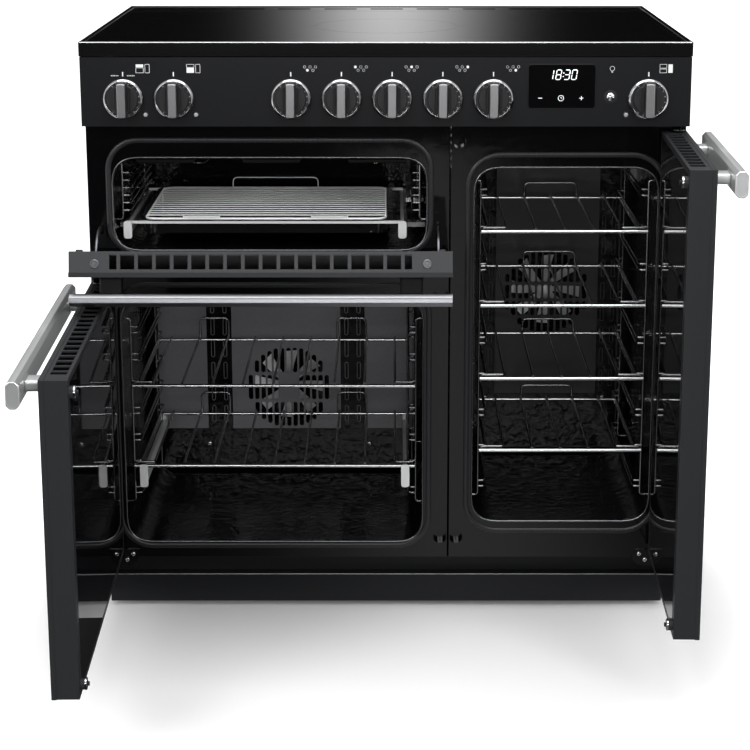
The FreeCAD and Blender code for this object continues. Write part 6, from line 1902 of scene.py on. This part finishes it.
FLAGS = (Flag("flag_front", (0, -4.6, 1.6), 9.0, 3.6, 90.0, 0.02, 0.03, 0.0, 1.0),
         Flag("flag_back", (0, 4.2, 1.1), 8.0, 2.2, 90.0, 0.004, 0.85, 0.0, 0.286),
         Flag("flag_low", (0, -2.32, 0.004), 3.6, 4.56, 0.0, 0.008, 0.5, 0.14, 0.26))
LAMPS = (Lamp("lamp_top", (0.0, -0.7, 2.9), (2.6, 1.6), 60.0),
         Lamp("lamp_front_left", (-2.0, -2.7, 2.0), (0.9, 1.3), 30.0),
         Lamp("lamp_front_right", (2.0, -2.7, 2.0), (0.9, 1.3), 30.0),
         Lamp("lamp_low", (0.0, -2.6, 0.95), (1.4, 0.3), 12.0))


@dataclass
class Studio:
    """Pale floor, soft lamps, white surround and the camera."""

    camera_place: tuple[float, float, float] = (9.0, -2914.1, 1211.0)
    pitch: float = 13.56
    focal_px: float = 1953.0
    frame_px: float = 750.0
    shift: Pair = (-0.0225, -0.1)
    ambient: float = 0.45
    painted_shade_inner: float = 0.5
    painted_shade_outer: float = 0.95
    glow_near_cooker: float = 0.04
    painted_shade_oval: float = 1.22
    floor_middle: tuple[float, float, float] = (0, 4, 0)
    floor_size: Pair = (20.0, 26.0)
    paper_grain: float = 0.025
    aim: tuple[float, float, float] = (0, -0.1, 0.5)
    sensor: float = 36.0
    sight: float = 60.0

    def build(self) -> None:
        """Builds the studio."""
        self.floor()
        self.flags()
        self.surround()
        self.lamps()
        self.camera()
        scene = bpy.context.scene
        scene.view_settings.view_transform = "Standard"

    def seen(self, tree: bpy.types.NodeTree) -> bpy.types.NodeSocket:
        """Adds the test for rays that show the background: camera, glossy and transmission."""
        path = add_node(tree, "ShaderNodeLightPath")
        first = add_node(tree, "ShaderNodeMath", {0: path.outputs["Is Camera Ray"],
                                                  1: path.outputs["Is Glossy Ray"]},
                         operation="MAXIMUM")
        both = add_node(tree, "ShaderNodeMath", {0: first.outputs["Value"],
                                                 1: path.outputs["Is Transmission Ray"]},
                        operation="MAXIMUM")
        return both.outputs["Value"]

    def floor(self) -> None:
        """Lays the pale floor: it glows white further out and less near the cooker, where the
        missing glow is painted shade on top of the cast shadow.
        """
        # Matt backdrop paper, rolled: even and pale. Its clouds are drawn 25 mm wide, to show.
        paper = bpy.data.materials.new("studio_paper")
        paper.use_nodes = True
        tree = paper.node_tree
        tree.nodes.remove(tree.nodes["Principled BSDF"])
        grain = add_node(tree, "ShaderNodeTexNoise", {"Scale": 1 / self.paper_grain})
        tone = add_node(tree, "ShaderNodeMix", {0: grain.outputs["Fac"], 6: linear("#ececec"),
                                                7: linear("#f0f0f0")}, data_type="RGBA")
        matt = add_node(tree, "ShaderNodeBsdfDiffuse", {"Color": tone.outputs[2]})
        # painted shade: the glow falls off in an oval round the cooker, darkening the floor there
        # beyond its cast shadow
        place = add_node(tree, "ShaderNodeTexCoord").outputs["Object"]
        oval = add_node(tree, "ShaderNodeVectorMath", {0: place, 1: (self.painted_shade_oval, 1.0, 1.0)},
                        operation="MULTIPLY")
        reach = add_node(tree, "ShaderNodeVectorMath", {0: oval.outputs["Vector"]},
                         operation="LENGTH")
        far = add_node(tree, "ShaderNodeMapRange",
                       {"Value": reach.outputs["Value"], "From Min": self.painted_shade_inner,
                        "From Max": self.painted_shade_outer, "To Min": self.glow_near_cooker, "To Max": 1.0},
                       interpolation_type="SMOOTHSTEP")
        lift = add_node(tree, "ShaderNodeMath", {0: self.seen(tree), 1: far.outputs["Result"]},
                        operation="MULTIPLY")
        glow = add_node(tree, "ShaderNodeEmission", {"Strength": lift.outputs["Value"]})
        both = add_node(tree, "ShaderNodeAddShader", {0: matt.outputs[0], 1: glow.outputs[0]})
        tree.links.new(both.outputs[0], tree.nodes["Material Output"].inputs["Surface"])
        self.card("studio_floor", Vector(self.floor_middle), *self.floor_size,
                  Matrix.Identity(4), paper)

    def card(self, name: str, middle: Vector, width: float, height: float, turn: Matrix,
             finish: bpy.types.Material) -> bpy.types.Object:
        """Stands one flat card in the studio; its sizes are metres.

        Args:
            name: The card's name.
            middle: Its middle.
            width: Its width.
            height: Its height.
            turn: Its turn from lying flat.
            finish: Its material.

        Returns:
            The card.
        """
        mesh = bpy.data.meshes.new(name)
        corners = [(-width / 2, -height / 2, 0), (width / 2, -height / 2, 0),
                   (width / 2, height / 2, 0), (-width / 2, height / 2, 0)]
        mesh.from_pydata([tuple(turn @ Vector(c) + middle) for c in corners], [], [(0, 1, 2, 3)])
        mesh.materials.append(finish)
        made = bpy.data.objects.new(name, mesh)
        bpy.context.scene.collection.objects.link(made)
        return made

    def flags(self) -> None:
        """Stands dark cards out of the camera's sight, which polished surfaces show as depth."""
        for flag in FLAGS:
            # Dark cloth that glows a little: polished enamel shows it as a soft grey bell.
            cloth = bpy.data.materials.new(flag.name)
            cloth.use_nodes = True
            tree = cloth.node_tree
            tree.nodes.remove(tree.nodes["Principled BSDF"])
            place = add_node(tree, "ShaderNodeTexCoord").outputs["Object"]
            parts = add_node(tree, "ShaderNodeSeparateXYZ", {"Vector": place})
            off = add_node(tree, "ShaderNodeMath", {0: parts.outputs["X"], 1: flag.aside},
                           operation="SUBTRACT")
            square = add_node(tree, "ShaderNodeMath", {0: off.outputs["Value"],
                                                       1: off.outputs["Value"]},
                              operation="MULTIPLY")
            fall = add_node(tree, "ShaderNodeMath", {0: square.outputs["Value"],
                                                     1: -1 / flag.spread ** 2},
                            operation="MULTIPLY")
            bell = add_node(tree, "ShaderNodeMath", {0: fall.outputs["Value"]},
                            operation="EXPONENT")
            tone = add_node(tree, "ShaderNodeMath", {0: bell.outputs["Value"],
                                                     1: flag.centre - flag.edge,
                                                     2: flag.edge},
                            operation="MULTIPLY_ADD")
            glow = add_node(tree, "ShaderNodeEmission", {"Strength": tone.outputs["Value"]})
            tree.links.new(glow.outputs[0], tree.nodes["Material Output"].inputs["Surface"])
            turn = Matrix.Rotation(math.radians(flag.tilt), 4, "X")
            made = self.card(flag.name, Vector(flag.middle), flag.width, flag.height, turn,
                             cloth)
            made.visible_camera = False
            made.visible_shadow = False
            made.visible_diffuse = False

    def surround(self) -> None:
        """Sets the world: white where it is seen, and a soft even light elsewhere."""
        world = bpy.data.worlds.new("studio_world")
        world.use_nodes = True
        bpy.context.scene.world = world
        tree = world.node_tree
        back = tree.nodes["Background"]
        level = add_node(tree, "ShaderNodeMapRange", {"Value": self.seen(tree),
                                                      "To Min": self.ambient, "To Max": 1.0})
        back.inputs["Color"].default_value = (1, 1, 1, 1)
        tree.links.new(level.outputs["Result"], back.inputs["Strength"])

    def lamps(self) -> None:
        """Hangs a large soft lamp above, one each side and a low one below the camera."""
        for given in LAMPS:
            lamp = bpy.data.lights.new(given.name, "AREA")
            lamp.shape = "RECTANGLE"
            lamp.size, lamp.size_y = given.size
            lamp.energy = given.power
            made = bpy.data.objects.new(given.name, lamp)
            made.location = given.place
            aim = Vector(self.aim) - Vector(given.place)
            made.rotation_euler = aim.to_track_quat("-Z", "Y").to_euler()
            bpy.context.scene.collection.objects.link(made)

    def camera(self) -> None:
        """Sets the camera: eye level above the hob, pitched down to the ovens."""
        lens = bpy.data.cameras.new("camera")
        lens.sensor_width = self.sensor
        lens.lens = self.sensor * self.focal_px / self.frame_px
        lens.shift_x, lens.shift_y = self.shift
        lens.clip_end = self.sight
        made = bpy.data.objects.new("camera", lens)
        made.location = Vector(self.camera_place) * MM
        made.rotation_euler = (math.radians(90 - self.pitch), 0, 0)
        bpy.context.scene.collection.objects.link(made)
        bpy.context.scene.camera = made


def main() -> None:
    """Builds the cooker's looks in order."""
    logging.basicConfig(level=logging.INFO, format="%(message)s")
    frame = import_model()
    Casework().dress(frame["nodes"])
    for number in range(1, 9):
        Knob(number).build()
    FasciaPrint().build()
    Clock().build()
    PushButton().build()
    Hob().build()
    OvenFronts().build()
    for back in OVEN_BACKS:
        back.build()
    for side in ("left", "right"):
        Fan(side).build()
    Ladders().build()
    FixedRails().build()
    for shelf in shelves():
        shelf.build()
    Trivet().build()
    left, right, grill = leaves()
    Handle(left, "door_handle_left").build()
    Handle(right, "door_handle_right").build()
    # the grill's handle takes painted shade on its bar and on its posts
    Handle(grill, "grill_door_handle", post=POST_PAINTED_SHADE, bar=GRILL_BAR_PAINTED_SHADE).build()
    DoorFittings().build()
    Studio().build()


if __name__ == "__main__":
    main()
